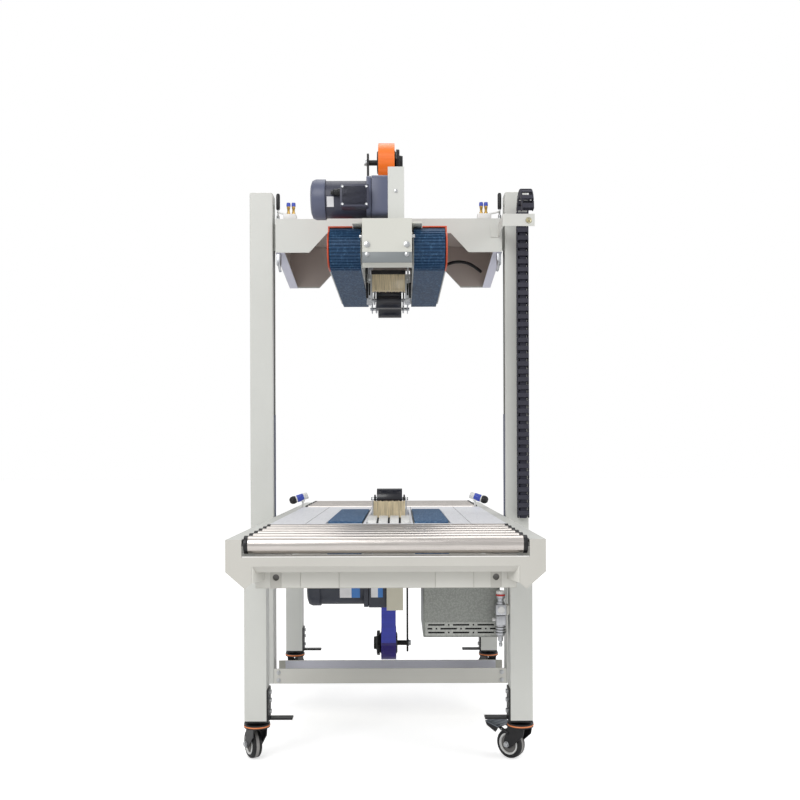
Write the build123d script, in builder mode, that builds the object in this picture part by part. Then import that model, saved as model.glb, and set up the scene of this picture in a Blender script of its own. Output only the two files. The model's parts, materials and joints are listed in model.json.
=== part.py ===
"""Top and bottom belt drive carton sealer with a self-rising head, in millimetres.

The origin is on the floor under the middle of the table, X across the conveyor, +Y along it away
from the infeed end, +Z up. Each named node is written to parts/ as its own STEP file.
"""

import os
from math import cos, hypot, radians, sin

from build123d import *

os.makedirs("parts", exist_ok=True)

# Table
TABLE_LENGTH = 1650.0
RAIL_HALF = 337.0
RAIL_TOP = 602.0
RAIL_LIP = 303.0
RAIL_WALL_FOOT = 534.0
RAIL_POINT_X = 296.0
RAIL_POINT_Z = 498.0
RAIL_RETURN_X = 282.0
RAIL_RETURN_Z = 510.0
SHEET = 3.0
PANEL_TOP = 565.0
PANEL_FACE_FOOT = 546.0
PANEL_FOOT = 532.0
PANEL_SLANT = 14.0
TIE_Y = 765.0
TIE_FOOT = 492.0
TIE_HOLE_X = 238.0
TIE_HOLE_Z = 515.5
TIE_HOLE_R = 7.0
PLATE_TOP = 605.0
PLATE_HALF_LENGTH = 425.0
PLATE_SKIRT = 26.0

# Rollers
ROLLER_R = 19.0
ROLLER_Z = 590.0
ROLLER_HALF = 297.0
ROLLER_FIRST = 20.0
ROLLER_PITCH = 68.0
ROLLERS_PER_END = 6
AXLE_R = 4.0
RUNNING_GAP = 0.05

# Belts
BELT_FRONT = -398.0
BELT_BACK = 274.0
BELT_INNER = 69.0
UPPER_BELT_WIDTH = 80.0
LOWER_BELT_WIDTH = 88.0
BELT_HEIGHT = 111.0
UPPER_BELT_FOOT = 1263.0
LOWER_BELT_TOP = 609.0
BELT_PLATE = 3.0
BELT_PROUD = 9.0
GUARD_GAP = 3.0
GUARD_INNER = 92.0
GUARD_FRONT = -350.0
GUARD_BACK = 228.0
GUARD_FOOT = 1377.0
GUARD_TOP = 1379.5
HANGER_YS = (10.0, 250.0)
HANGER_LENGTH = 60.0
HANGER_FOOT = 1350.0
HANGER_TOP = 1416.0
UPPER_BAR_HEIGHT = 64.0
UPPER_BAR_DEPTH = 36.0
LOWER_BAR_YS = (-225.0, 110.0)
LOWER_BAR_FOOT = 475.0
LOWER_BAR_HEIGHT = 20.0
LOWER_BAR_DEPTH = 40.0
CHEEK_FOOT_LENGTH = 60.0
CHEEK_FOOT_TOP = 518.0
HOOK = 4.0

# Tape heads
CHEEK = 4.0
LOWER_CHEEK_X = 46.0
UPPER_CHEEK_X = 54.0
BRUSH_DEPTH = 34.0
LOWER_BRUSH_Y = -110.0
LOWER_BRUSH_FOOT = 548.0
LOWER_BRUSH_TOP = 652.0
UPPER_BRUSH_Y = -125.0
UPPER_BRUSH_FOOT = 1250.0
UPPER_BRUSH_TOP = 1350.0
LOWER_WIPERS = ((-50.0, 654.0), (170.0, 590.0))
LOWER_WIPER_R = 30.0
LOWER_WIPER_HALF = 38.0
UPPER_WIPERS = ((-40.0, 1228.0), (200.0, 1258.0))
UPPER_WIPER_R = 33.0
UPPER_WIPER_HALF = 42.0
SPREADER_R = 9.0
WIPER_AXLE_R = 8.0

# Legs, columns and foot crossbar
LEG_INNER = 309.0
LEG_OUTER = 365.0
LEG_FRONT_Y = -402.0
LEG_BACK_Y = 452.0
LEG_HALF = 28.0
LEG_FOOT = 108.0
LEG_TOP = 568.0
COLUMN_INNER = 343.0
COLUMN_OUTER = 411.0
COLUMN_FRONT = -40.0
COLUMN_BACK = 20.0
COLUMN_TOP = 1556.0
SLOT_Y = -10.0
SLOT_WIDTH = 22.0
SLOT_DEPTH = 34.0
SLOT_FOOT = 390.0
SLOT_TOP = 1530.0
PAD_FOOT = 544.0
PAD_TOP = 596.0
PAD_DEPTH = 16.0
CROSSBAR_TOP = 152.0
CROSSBAR_BACK = 75.0
CROSSBAR_WALL = 4.0

# Lift cylinders
LIFT_X = 344.0
LIFT_TUBE_R = 4.5
LIFT_TUBE_TOP = 903.0
LIFT_TUBE_BASE = 10.0
LIFT_ROD_R = 2.5
LIFT_ROD_FOOT = 870.0

# Casters
WHEEL_R = 37.5
WHEEL_WIDTH = 26.0
FORK_INNER = 16.0
FORK_SHEET = 3.0
FORK_TOP = 97.0
FORK_RING_R = 33.0
TRAIL = 30.0
STEM_R = 6.0
FOOT_PLATE_FOOT = 103.0
FOOT_PLATE_REACH = 62.0
TOE_DEPTH = 26.0

# Head
HEAD_HALF = 334.0
HEAD_FRONT = -45.0
HEAD_BACK = 307.0
HEAD_TOP = 1479.0
HEAD_FRONT_FOOT = 1380.0
HEAD_BACK_FOOT = 1340.0
HEAD_WING_X = 235.0
HEAD_CENTRE_X = 183.0
HEAD_RISE = 56.0
HEAD_FLANGE = 27.0
TONGUE = 10.0
TONGUE_FOOT = 1392.0
TONGUE_TOP = 1472.0
TONGUE_PLAY = 6.0

# Upper drive and tape roll
MOTOR_HALF = 51.5
MOTOR_CORNER = 12.0
MOTOR_CAP_R = 50.0
MOTOR_BARREL_R = 47.0
TERMINAL_WIDTH = 84.0
TERMINAL_HEIGHT = 58.0
TERMINAL_RISE = 6.0
UPPER_MOTOR_Y = -350.0
UPPER_MOTOR_Z = 1449.0
UPPER_MOTOR_CAP_X = -198.0
UPPER_MOTOR_BARREL_X = -160.0
UPPER_MOTOR_GEAR_X = -55.0
UPPER_MOTOR_END_X = 2.0
CHANNEL_END_X = 44.0
CHANNEL_FRONT = -400.0
CHANNEL_BACK = -300.0
CHANNEL_TOP = 1520.0
NOSE_HALF = 63.0
NOSE_FRONT = -430.0
NOSE_TOP = 1380.0
NOSE_PIN_R = 8.0
ROLL_ARM_WIDTH = 28.0
ROLL_ARM = 6.0
UPPER_ARM_X = -61.0
UPPER_ARM_TOP = 1674.0
UPPER_ROLL_X = -6.0
UPPER_ROLL_Y = -28.0
UPPER_ROLL_Z = 1649.0
UPPER_ROLL_R = 55.0
TAPE_WIDTH = 48.0
HUB_PROUD = 4.0
AXLE_REACH = 90.0
CORE_R = 38.0
HUB_AXLE_R = 8.0

# Lower drive and tape roll
LOWER_MOTOR_Y = -300.0
LOWER_MOTOR_Z = 432.0
LOWER_MOTOR_CAP_X = -215.0
LOWER_MOTOR_GEAR_X = -65.0
MOTOR_PLATE = 5.0
MOTOR_TRAY_WIDTH = 43.0
MOTOR_TRAY_FOOT = 376.0
LOWER_ARM_X = 53.0
LOWER_ARM_FOOT = 152.0
LOWER_ARM_TOP = 540.0
LOWER_ROLL_X = -7.0
LOWER_ROLL_Y = 206.0
LOWER_ROLL_Z = 179.0
LOWER_ROLL_R = 53.0

# Energy chain
CHAIN_X0 = 375.0
CHAIN_X1 = 409.0
CHAIN_THICK = 25.0
CHAIN_REAR_Y = -57.5
CHAIN_NEAR_Y = -170.0
CHAIN_FOOT = 594.0
CHAIN_TOP = 1543.0
CHAIN_NEAR_FOOT = 1464.0
CHAIN_RAIL = 5.0
CHAIN_BRACKET_FOOT = 1423.0
CHAIN_BRACKET_HEIGHT = 34.0
CHAIN_BRACKET_FRONT = -178.0
CHAIN_BRACKET_X = 324.0

# Control box and air unit
CONTROL_X = 190.0
CONTROL_Y = -235.0
CONTROL_WIDTH = 200.0
CONTROL_LENGTH = 270.0
CONTROL_FOOT = 308.0
CONTROL_TOP = 475.0
AIR_X = 287.0
AIR_FOOT = 290.0
AIR_BLOCK_FOOT = 345.0
AIR_BLOCK_TOP = 400.0
AIR_TOP = 433.0
AIR_BOWL_R = 12.5
AIR_DRAIN_R = 7.0
AIR_DRAIN_TOP = 316.0
AIR_KNOB_R = 12.0


def save(builder: BuildPart, name: str) -> None:
    """Label the built part and write it as its own STEP file."""
    builder.part.label = name
    export_step(builder.part, f"parts/{name}.step")


def across(x: float) -> Plane:
    """Side-view plane at X = x: local x is world Y, local y is world Z."""
    return Plane(origin=(x, 0, 0), x_dir=(0, 1, 0), z_dir=(1, 0, 0))


def facing(y: float) -> Plane:
    """Front-view plane at Y = y: local x is world X, local y is world Z, normal towards +Y."""
    return Plane(origin=(0, y, 0), x_dir=(-1, 0, 0), z_dir=(0, 1, 0))


# Side rails: one folded section with a top flange, a wall, an inward slant and a return lip.
for name, side in (("left_rail", -1), ("right_rail", 1)):
    with BuildPart() as rail:
        with BuildSketch(Plane.XZ.offset(TABLE_LENGTH / 2 - SHEET)):
            with BuildLine() as section:
                Polyline(
                    (side * RAIL_LIP, RAIL_TOP - 6),
                    (side * RAIL_LIP, RAIL_TOP),
                    (side * RAIL_HALF, RAIL_TOP),
                    (side * RAIL_HALF, RAIL_WALL_FOOT),
                    (side * RAIL_POINT_X, RAIL_POINT_Z),
                    (side * RAIL_RETURN_X, RAIL_RETURN_Z),
                )
                offset(amount=SHEET, side=Side.RIGHT if side > 0 else Side.LEFT)
            make_face()
        extrude(amount=-(TABLE_LENGTH - 2 * SHEET))
    save(rail, name)

# End panels: ears over the rail ends, a low face between them, a slanted foot and a tie behind.
for name, end in (("front_panel", -1), ("rear_panel", 1)):
    with BuildPart() as panel:
        with BuildSketch(Plane.XZ.offset(-end * TABLE_LENGTH / 2)):
            with BuildLine():
                Polyline(
                    (-RAIL_HALF, RAIL_TOP), (-RAIL_LIP, RAIL_TOP), (-RAIL_LIP, PANEL_TOP),
                    (RAIL_LIP, PANEL_TOP), (RAIL_LIP, RAIL_TOP), (RAIL_HALF, RAIL_TOP),
                    (RAIL_HALF, RAIL_WALL_FOOT), (RAIL_POINT_X, RAIL_POINT_Z),
                    (RAIL_RETURN_X, RAIL_RETURN_Z), (RAIL_RETURN_X, PANEL_FACE_FOOT),
                    (-RAIL_RETURN_X, PANEL_FACE_FOOT), (-RAIL_RETURN_X, RAIL_RETURN_Z),
                    (-RAIL_POINT_X, RAIL_POINT_Z), (-RAIL_HALF, RAIL_WALL_FOOT), close=True,
                )
            make_face()
        extrude(amount=end * SHEET)
        front = end * TABLE_LENGTH / 2
        with BuildSketch(across(-RAIL_RETURN_X)):
            with BuildLine():
                Polyline(
                    (front, PANEL_FACE_FOOT), (front - end * PANEL_SLANT, PANEL_FOOT),
                    (front - end * (PANEL_SLANT + SHEET), PANEL_FOOT),
                    (front - end * SHEET, PANEL_FACE_FOOT + 2), (front, PANEL_FACE_FOOT + 2),
                    close=True,
                )
            make_face()
            with BuildLine():
                Polyline(
                    (front, PANEL_TOP), (end * TIE_Y, PANEL_TOP), (end * TIE_Y, TIE_FOOT),
                    (end * (TIE_Y + SHEET), TIE_FOOT), (end * (TIE_Y + SHEET), PANEL_TOP - SHEET),
                    (front, PANEL_TOP - SHEET), close=True,
                )
            make_face()
        extrude(amount=2 * RAIL_RETURN_X)
        with BuildSketch(Plane.XZ.offset(-end * (TIE_Y + 20))):
            with Locations((-TIE_HOLE_X, TIE_HOLE_Z), (TIE_HOLE_X, TIE_HOLE_Z)):
                Circle(TIE_HOLE_R)
        extrude(amount=end * 60, mode=Mode.SUBTRACT)
    save(panel, name)

# Table plate: a folded sheet with windows for the two belts and the tape head between them.
with BuildPart() as table_plate:
    with BuildSketch(Plane.XY.offset(PLATE_TOP - SHEET)):
        Rectangle(2 * RAIL_LIP, 2 * PLATE_HALF_LENGTH)
        with Locations((0, (BELT_FRONT + BELT_BACK) / 2)):
            with GridLocations(2 * BELT_INNER + LOWER_BELT_WIDTH, 0, 2, 1):
                Rectangle(LOWER_BELT_WIDTH + 10, BELT_BACK - BELT_FRONT - 20, mode=Mode.SUBTRACT)
            Rectangle(116, BELT_BACK - BELT_FRONT - 20, mode=Mode.SUBTRACT)
    extrude(amount=SHEET)
    with BuildSketch(Plane.XY.offset(PLATE_TOP - PLATE_SKIRT)):
        Rectangle(2 * RAIL_LIP, 2 * PLATE_HALF_LENGTH)
        Rectangle(2 * (RAIL_LIP - SHEET), 2 * (PLATE_HALF_LENGTH - SHEET), mode=Mode.SUBTRACT)
    extrude(amount=PLATE_SKIRT)
save(table_plate, "table_plate")

# Rollers turn on fixed axles that reach from rail wall to rail wall.
roller_ys = [
    end * (TABLE_LENGTH / 2 - ROLLER_FIRST - ROLLER_PITCH * i)
    for end in (-1, 1)
    for i in range(ROLLERS_PER_END)
]
with BuildPart() as roller_axles:
    with BuildSketch(across(-RAIL_HALF + SHEET)):
        with Locations(*[(y, ROLLER_Z) for y in roller_ys]):
            Circle(AXLE_R)
    extrude(amount=2 * (RAIL_HALF - SHEET))
save(roller_axles, "roller_axles")

for index, y in enumerate(roller_ys):
    with BuildPart() as roller:
        with BuildSketch(across(-ROLLER_HALF)):
            with Locations((y, ROLLER_Z)):
                Circle(ROLLER_R)
                Circle(AXLE_R + RUNNING_GAP, mode=Mode.SUBTRACT)
        extrude(amount=2 * ROLLER_HALF)
        chamfer(roller.edges().filter_by(GeomType.CIRCLE).group_by(SortBy.RADIUS)[-1], 1.5)
    place = "front" if index < ROLLERS_PER_END else "rear"
    save(roller, f"{place}_roller_{index % ROLLERS_PER_END + 1}")


def belt_outline(foot: float, inset: float) -> None:
    """Stadium outline of a belt run in side view, drawn inwards by an inset."""
    with Locations(((BELT_FRONT + BELT_BACK) / 2, foot + BELT_HEIGHT / 2)):
        SlotOverall(BELT_BACK - BELT_FRONT - 2 * inset, BELT_HEIGHT - 2 * inset)


for name, x, width, foot in (
    ("upper_left_belt", -BELT_INNER - UPPER_BELT_WIDTH, UPPER_BELT_WIDTH, UPPER_BELT_FOOT),
    ("upper_right_belt", BELT_INNER, UPPER_BELT_WIDTH, UPPER_BELT_FOOT),
    ("lower_left_belt", -BELT_INNER - LOWER_BELT_WIDTH, LOWER_BELT_WIDTH, LOWER_BELT_TOP - BELT_HEIGHT),
    ("lower_right_belt", BELT_INNER, LOWER_BELT_WIDTH, LOWER_BELT_TOP - BELT_HEIGHT),
):
    with BuildPart() as belt:
        with BuildSketch(across(x)):
            belt_outline(foot, 0)
        extrude(amount=width)
    save(belt, name)

# Lower belt frame: a cheek on each side of each belt and two bars resting on the rail lips.
lip_run = RAIL_POINT_X - RAIL_RETURN_X
lip_top = RAIL_RETURN_Z + SHEET * lip_run / hypot(lip_run, RAIL_RETURN_Z - RAIL_POINT_Z)
bar_half = RAIL_RETURN_X - 0.5
with BuildPart() as lower_belt_frame:
    for side in (-1, 1):
        for x in (BELT_INNER - BELT_PLATE, BELT_INNER + LOWER_BELT_WIDTH):
            with BuildSketch(across(side * (x + BELT_PLATE / 2) - BELT_PLATE / 2)):
                belt_outline(LOWER_BELT_TOP - BELT_HEIGHT, BELT_PROUD)
                with Locations(*[(y, (LOWER_BAR_FOOT + CHEEK_FOOT_TOP) / 2) for y in LOWER_BAR_YS]):
                    Rectangle(CHEEK_FOOT_LENGTH, CHEEK_FOOT_TOP - LOWER_BAR_FOOT)
            extrude(amount=BELT_PLATE)
    with BuildSketch(across(-bar_half)):
        with Locations(*[(y, LOWER_BAR_FOOT + LOWER_BAR_HEIGHT / 2) for y in LOWER_BAR_YS]):
            Rectangle(LOWER_BAR_DEPTH, LOWER_BAR_HEIGHT)
            Rectangle(LOWER_BAR_DEPTH - 2 * SHEET, LOWER_BAR_HEIGHT - 2 * SHEET, mode=Mode.SUBTRACT)
    extrude(amount=2 * bar_half)
    for y in LOWER_BAR_YS:
        with BuildSketch(Plane.XY.offset(LOWER_BAR_FOOT)):
            with Locations((-bar_half + 7.5, y), (bar_half - 7.5, y)):
                Rectangle(12, LOWER_BAR_DEPTH)
        extrude(amount=lip_top + HOOK - LOWER_BAR_FOOT)
        with BuildSketch(Plane.XY.offset(lip_top)):
            with Locations((-RAIL_RETURN_X - 1, y), (RAIL_RETURN_X + 1, y)):
                Rectangle(14, LOWER_BAR_DEPTH)
        extrude(amount=HOOK)
save(lower_belt_frame, "lower_belt_frame")

# Lower tape head: cheeks, a brush block and two rollers that stand over the table.
with BuildPart() as lower_tape_head:
    for x in (-LOWER_CHEEK_X - CHEEK, LOWER_CHEEK_X):
        with BuildSketch(across(x)):
            with BuildLine():
                Polyline(
                    (-250, 495), (230, 495), (230, 570), (190, 612), (120, 612), (80, 600),
                    (-60, 600), (-80, 648), (-120, 648), (-165, 600), (-250, 600), close=True,
                )
            make_face()
        extrude(amount=CHEEK)
    with BuildSketch(across(-LOWER_CHEEK_X)):
        with Locations((LOWER_BRUSH_Y, (LOWER_BRUSH_FOOT + LOWER_BRUSH_TOP) / 2)):
            Rectangle(BRUSH_DEPTH, LOWER_BRUSH_TOP - LOWER_BRUSH_FOOT)
        with Locations((-30, 508), (160, 508), (-200, 508)):
            Circle(SPREADER_R)
        with Locations(LOWER_WIPERS[1]):
            Circle(WIPER_AXLE_R)
        with Locations((LOWER_WIPERS[0][0], LOWER_WIPERS[0][1] - LOWER_WIPER_R - 4)):
            Rectangle(20, 2 * LOWER_WIPER_R)
    extrude(amount=2 * LOWER_CHEEK_X)
    with BuildSketch(across(-LOWER_WIPER_HALF)):
        with Locations(*LOWER_WIPERS):
            Circle(LOWER_WIPER_R)
    extrude(amount=2 * LOWER_WIPER_HALF)
save(lower_tape_head, "lower_tape_head")

# Legs: square tubes lapped over the rail wall and cut to the slant of its foot.
for row, leg_y in (("front", LEG_FRONT_Y), ("rear", LEG_BACK_Y)):
    for hand, side in (("left", -1), ("right", 1)):
        slant = (RAIL_WALL_FOOT - RAIL_POINT_Z) / (RAIL_HALF - RAIL_POINT_X)
        with BuildPart() as leg:
            with BuildSketch(Plane.XZ.offset(-leg_y + LEG_HALF)):
                with BuildLine():
                    Polyline(
                        (side * LEG_INNER, LEG_FOOT), (side * LEG_OUTER, LEG_FOOT),
                        (side * LEG_OUTER, LEG_TOP), (side * RAIL_HALF, LEG_TOP),
                        (side * RAIL_HALF, RAIL_WALL_FOOT),
                        (side * LEG_INNER, RAIL_WALL_FOOT - slant * (RAIL_HALF - LEG_INNER)),
                        close=True,
                    )
                make_face()
            extrude(amount=-2 * LEG_HALF)
        save(leg, f"{row}_{hand}_leg")

# Foot brackets: an angle on each leg's inner face, a plate under the leg and the caster stem.
with BuildPart() as foot_brackets:
    for leg_y in (LEG_FRONT_Y, LEG_BACK_Y):
        for side in (-1, 1):
            with BuildSketch(Plane.XZ.offset(-leg_y + LEG_HALF - 2)):
                with BuildLine():
                    Polyline(
                        (side * LEG_OUTER, LEG_FOOT), (side * LEG_INNER, LEG_FOOT),
                        (side * LEG_INNER, LEG_FOOT + 78), (side * (LEG_INNER - 4), LEG_FOOT + 78),
                        (side * (LEG_INNER - 4), FOOT_PLATE_FOOT), (side * LEG_OUTER, FOOT_PLATE_FOOT),
                        close=True,
                    )
                make_face()
            extrude(amount=-2 * LEG_HALF + 4)
            with BuildSketch(Plane.XY.offset(FOOT_PLATE_FOOT)):
                with Locations((side * (LEG_INNER - FOOT_PLATE_REACH / 2), leg_y + LEG_HALF - TOE_DEPTH / 2)):
                    Rectangle(FOOT_PLATE_REACH, TOE_DEPTH)
            extrude(amount=LEG_FOOT - FOOT_PLATE_FOOT)
            with BuildSketch(Plane.XY.offset(FORK_TOP - 9)):
                with Locations((side * (LEG_INNER + LEG_HALF), leg_y)):
                    Circle(STEM_R)
            extrude(amount=FOOT_PLATE_FOOT - FORK_TOP + 9)
save(foot_brackets, "foot_brackets")


def caster(name: str, x: float, y: float, heading: float) -> None:
    """Fork and wheel of one swivel caster; heading is the trail direction in degrees from +X."""
    trail = Vector(cos(radians(heading)), sin(radians(heading)), 0)
    axle = Vector(sin(radians(heading)), -cos(radians(heading)), 0)
    centre = Vector(x, y, 0)
    with BuildPart() as fork:
        with BuildSketch(Plane(origin=centre + Vector(0, 0, FORK_TOP - 10), x_dir=trail)):
            Circle(FORK_RING_R)
            Circle(STEM_R + RUNNING_GAP, mode=Mode.SUBTRACT)
        extrude(amount=10)
        for offset_x in (FORK_INNER, -FORK_INNER - FORK_SHEET):
            with BuildSketch(Plane(origin=centre + axle * offset_x, x_dir=trail, z_dir=axle)):
                with BuildLine():
                    Polyline(
                        (-24, FORK_TOP - 8), (26, FORK_TOP - 8), (TRAIL + 10, WHEEL_R + 4),
                        (TRAIL + 7, WHEEL_R - 9), (TRAIL - 9, WHEEL_R - 9), (-20, FORK_TOP - 30),
                        close=True,
                    )
                make_face()
            extrude(amount=FORK_SHEET)
        with BuildSketch(
            Plane(origin=centre - axle * (FORK_INNER + 7), x_dir=trail, z_dir=axle)
        ):
            with Locations((TRAIL, WHEEL_R)):
                Circle(AXLE_R)
        extrude(amount=2 * FORK_INNER + 14)
    save(fork, f"{name}_caster_fork")
    with BuildPart() as wheel:
        with BuildSketch(
            Plane(origin=centre + trail * TRAIL + Vector(0, 0, WHEEL_R), x_dir=trail, z_dir=Vector(0, 0, 1))
        ):
            with BuildLine():
                Polyline(
                    (AXLE_R + RUNNING_GAP, -11), (12, -11), (12, -8), (26, -8), (28, -WHEEL_WIDTH / 2),
                    (WHEEL_R - 4, -WHEEL_WIDTH / 2), (WHEEL_R, -WHEEL_WIDTH / 2 + 5),
                    (WHEEL_R, WHEEL_WIDTH / 2 - 5), (WHEEL_R - 4, WHEEL_WIDTH / 2),
                    (28, WHEEL_WIDTH / 2), (26, 8), (12, 8), (12, 11), (AXLE_R + RUNNING_GAP, 11),
                    close=True,
                )
            make_face()
        revolve(axis=Axis(centre + trail * TRAIL + Vector(0, 0, WHEEL_R), axle))
    save(wheel, f"{name}_caster_wheel")


caster("front_left", -LEG_INNER - LEG_HALF, LEG_FRONT_Y, 119)
caster("front_right", LEG_INNER + LEG_HALF, LEG_FRONT_Y, 138)
caster("rear_left", -LEG_INNER - LEG_HALF, LEG_BACK_Y, 75)
caster("rear_right", LEG_INNER + LEG_HALF, LEG_BACK_Y, 110)

# Columns: closed box posts with a guide slot down the inner face and pads against the rails.
for name, side in (("left_column", -1), ("right_column", 1)):
    with BuildPart() as column:
        with BuildSketch(Plane.XY.offset(LEG_FOOT)):
            with Locations((side * (COLUMN_INNER + COLUMN_OUTER) / 2, (COLUMN_FRONT + COLUMN_BACK) / 2)):
                RectangleRounded(COLUMN_OUTER - COLUMN_INNER, COLUMN_BACK - COLUMN_FRONT, 3)
        extrude(amount=COLUMN_TOP - LEG_FOOT)
        for y in (COLUMN_FRONT + 2, COLUMN_BACK - 2 - PAD_DEPTH):
            with BuildSketch(facing(y)):
                with Locations((-side * (RAIL_HALF + COLUMN_INNER + 2) / 2, (PAD_FOOT + PAD_TOP) / 2)):
                    Rectangle(COLUMN_INNER + 2 - RAIL_HALF, PAD_TOP - PAD_FOOT)
            extrude(amount=PAD_DEPTH)
        with BuildSketch(Plane.XY.offset(SLOT_FOOT)):
            with Locations((side * COLUMN_INNER, SLOT_Y)):
                Rectangle(2 * SLOT_DEPTH, SLOT_WIDTH)
        extrude(amount=SLOT_TOP - SLOT_FOOT, mode=Mode.SUBTRACT)
        if side > 0:
            with BuildSketch(Plane.XY.offset(CHAIN_FOOT)):
                with Locations(((CHAIN_X0 + CHAIN_X1) / 2, COLUMN_FRONT - CHAIN_RAIL / 2 + 0.5)):
                    Rectangle(CHAIN_X1 - CHAIN_X0 - 8, CHAIN_RAIL + 1)
            extrude(amount=CHAIN_TOP - CHAIN_FOOT - 80)
    save(column, name)

# Foot crossbar: a channel between the columns, open upwards.
with BuildPart() as foot_crossbar:
    with BuildSketch(across(-COLUMN_INNER)):
        with Locations(((COLUMN_FRONT + CROSSBAR_BACK) / 2, (LEG_FOOT + CROSSBAR_TOP) / 2)):
            Rectangle(CROSSBAR_BACK - COLUMN_FRONT, CROSSBAR_TOP - LEG_FOOT)
        with Locations(((COLUMN_FRONT + CROSSBAR_BACK) / 2, (LEG_FOOT + CROSSBAR_TOP) / 2 + CROSSBAR_WALL)):
            Rectangle(
                CROSSBAR_BACK - COLUMN_FRONT - 2 * CROSSBAR_WALL, CROSSBAR_TOP - LEG_FOOT, mode=Mode.SUBTRACT,
            )
    extrude(amount=2 * COLUMN_INNER)
save(foot_crossbar, "foot_crossbar")

# Lift cylinders: a tube in each column's slot, and a rod from the head's tongue that slides in it.
with BuildPart() as lift_tubes:
    with BuildSketch(Plane.XY.offset(SLOT_FOOT)):
        with Locations((-LIFT_X, SLOT_Y), (LIFT_X, SLOT_Y)):
            Circle(LIFT_TUBE_R)
    extrude(amount=LIFT_TUBE_TOP - SLOT_FOOT)
    with BuildSketch(Plane.XY.offset(SLOT_FOOT + LIFT_TUBE_BASE)):
        with Locations((-LIFT_X, SLOT_Y), (LIFT_X, SLOT_Y)):
            Circle(LIFT_ROD_R + RUNNING_GAP)
    extrude(amount=LIFT_TUBE_TOP - SLOT_FOOT - LIFT_TUBE_BASE, mode=Mode.SUBTRACT)
save(lift_tubes, "lift_tubes")

with BuildPart() as lift_rods:
    with BuildSketch(Plane.XY.offset(LIFT_ROD_FOOT)):
        with Locations((-LIFT_X, SLOT_Y), (LIFT_X, SLOT_Y)):
            Circle(LIFT_ROD_R)
    extrude(amount=TONGUE_FOOT - LIFT_ROD_FOOT)
save(lift_rods, "lift_rods")

# Head frame: gull-wing front and rear plates, sloping side flanges, a top sheet and two tongues.
with BuildPart() as head_frame:
    for y, foot in ((HEAD_FRONT, HEAD_FRONT_FOOT), (HEAD_BACK - SHEET, HEAD_BACK_FOOT)):
        with BuildSketch(facing(y)):
            with BuildLine():
                Polyline(
                    (-HEAD_HALF, HEAD_TOP), (HEAD_HALF, HEAD_TOP), (HEAD_HALF, foot),
                    (HEAD_WING_X, foot), (HEAD_CENTRE_X, foot + HEAD_RISE),
                    (-HEAD_CENTRE_X, foot + HEAD_RISE), (-HEAD_WING_X, foot), (-HEAD_HALF, foot),
                    close=True,
                )
            make_face()
        extrude(amount=SHEET)
    for side in (-1, 1):
        with BuildSketch(across(side * (HEAD_HALF - SHEET / 2) - SHEET / 2)):
            with BuildLine():
                Polyline(
                    (HEAD_FRONT, HEAD_TOP), (HEAD_BACK, HEAD_TOP), (HEAD_BACK, HEAD_BACK_FOOT),
                    (HEAD_FRONT, HEAD_FRONT_FOOT), close=True,
                )
            make_face()
        extrude(amount=SHEET)
        with BuildSketch(across(side * (HEAD_HALF - HEAD_FLANGE / 2) - HEAD_FLANGE / 2)):
            with BuildLine():
                Polyline(
                    (HEAD_FRONT, HEAD_FRONT_FOOT), (HEAD_BACK, HEAD_BACK_FOOT),
                    (HEAD_BACK, HEAD_BACK_FOOT + SHEET), (HEAD_FRONT, HEAD_FRONT_FOOT + SHEET),
                    close=True,
                )
            make_face()
        extrude(amount=HEAD_FLANGE)
        with BuildSketch(facing(SLOT_Y - TONGUE / 2)):
            tongue_end = COLUMN_INNER + SLOT_DEPTH - TONGUE_PLAY
            with Locations((-side * (HEAD_HALF + tongue_end) / 2, (TONGUE_FOOT + TONGUE_TOP) / 2)):
                Rectangle(tongue_end - HEAD_HALF + 2, TONGUE_TOP - TONGUE_FOOT)
        extrude(amount=TONGUE)
    with BuildSketch(Plane.XY.offset(HEAD_TOP - SHEET)):
        with Locations((0, (HEAD_FRONT + HEAD_BACK) / 2)):
            Rectangle(2 * HEAD_HALF, HEAD_BACK - HEAD_FRONT)
    extrude(amount=SHEET)
save(head_frame, "head_frame")

# Upper belt frame: inner cheeks, outer guards with a cover over each belt, and two box bars.
guard_x = BELT_INNER + UPPER_BELT_WIDTH + GUARD_GAP
with BuildPart() as upper_belt_frame:
    for side in (-1, 1):
        for x in (BELT_INNER - BELT_PLATE, guard_x):
            with BuildSketch(across(side * (x + BELT_PLATE / 2) - BELT_PLATE / 2)):
                belt_outline(UPPER_BELT_FOOT, BELT_PROUD)
                with Locations(*[(y, (HANGER_FOOT + HANGER_TOP) / 2) for y in HANGER_YS]):
                    Rectangle(HANGER_LENGTH, HANGER_TOP - HANGER_FOOT)
                if x == guard_x:
                    with Locations(((GUARD_FRONT + GUARD_BACK) / 2, (HANGER_FOOT + GUARD_TOP) / 2)):
                        Rectangle(GUARD_BACK - GUARD_FRONT, GUARD_TOP - HANGER_FOOT)
            extrude(amount=BELT_PLATE)
        cover = guard_x + BELT_PLATE - GUARD_INNER
        with BuildSketch(Plane.XY.offset(GUARD_FOOT)):
            with Locations((side * (GUARD_INNER + cover / 2), (GUARD_FRONT + GUARD_BACK) / 2)):
                Rectangle(cover, GUARD_BACK - GUARD_FRONT)
        extrude(amount=GUARD_TOP - GUARD_FOOT)
    with BuildSketch(across(-guard_x - BELT_PLATE)):
        with Locations(*[(y, HEAD_TOP - SHEET - UPPER_BAR_HEIGHT / 2) for y in HANGER_YS]):
            Rectangle(UPPER_BAR_DEPTH, UPPER_BAR_HEIGHT)
            Rectangle(UPPER_BAR_DEPTH - 2 * SHEET, UPPER_BAR_HEIGHT - 2 * SHEET, mode=Mode.SUBTRACT)
    extrude(amount=2 * (guard_x + BELT_PLATE))
save(upper_belt_frame, "upper_belt_frame")

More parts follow.
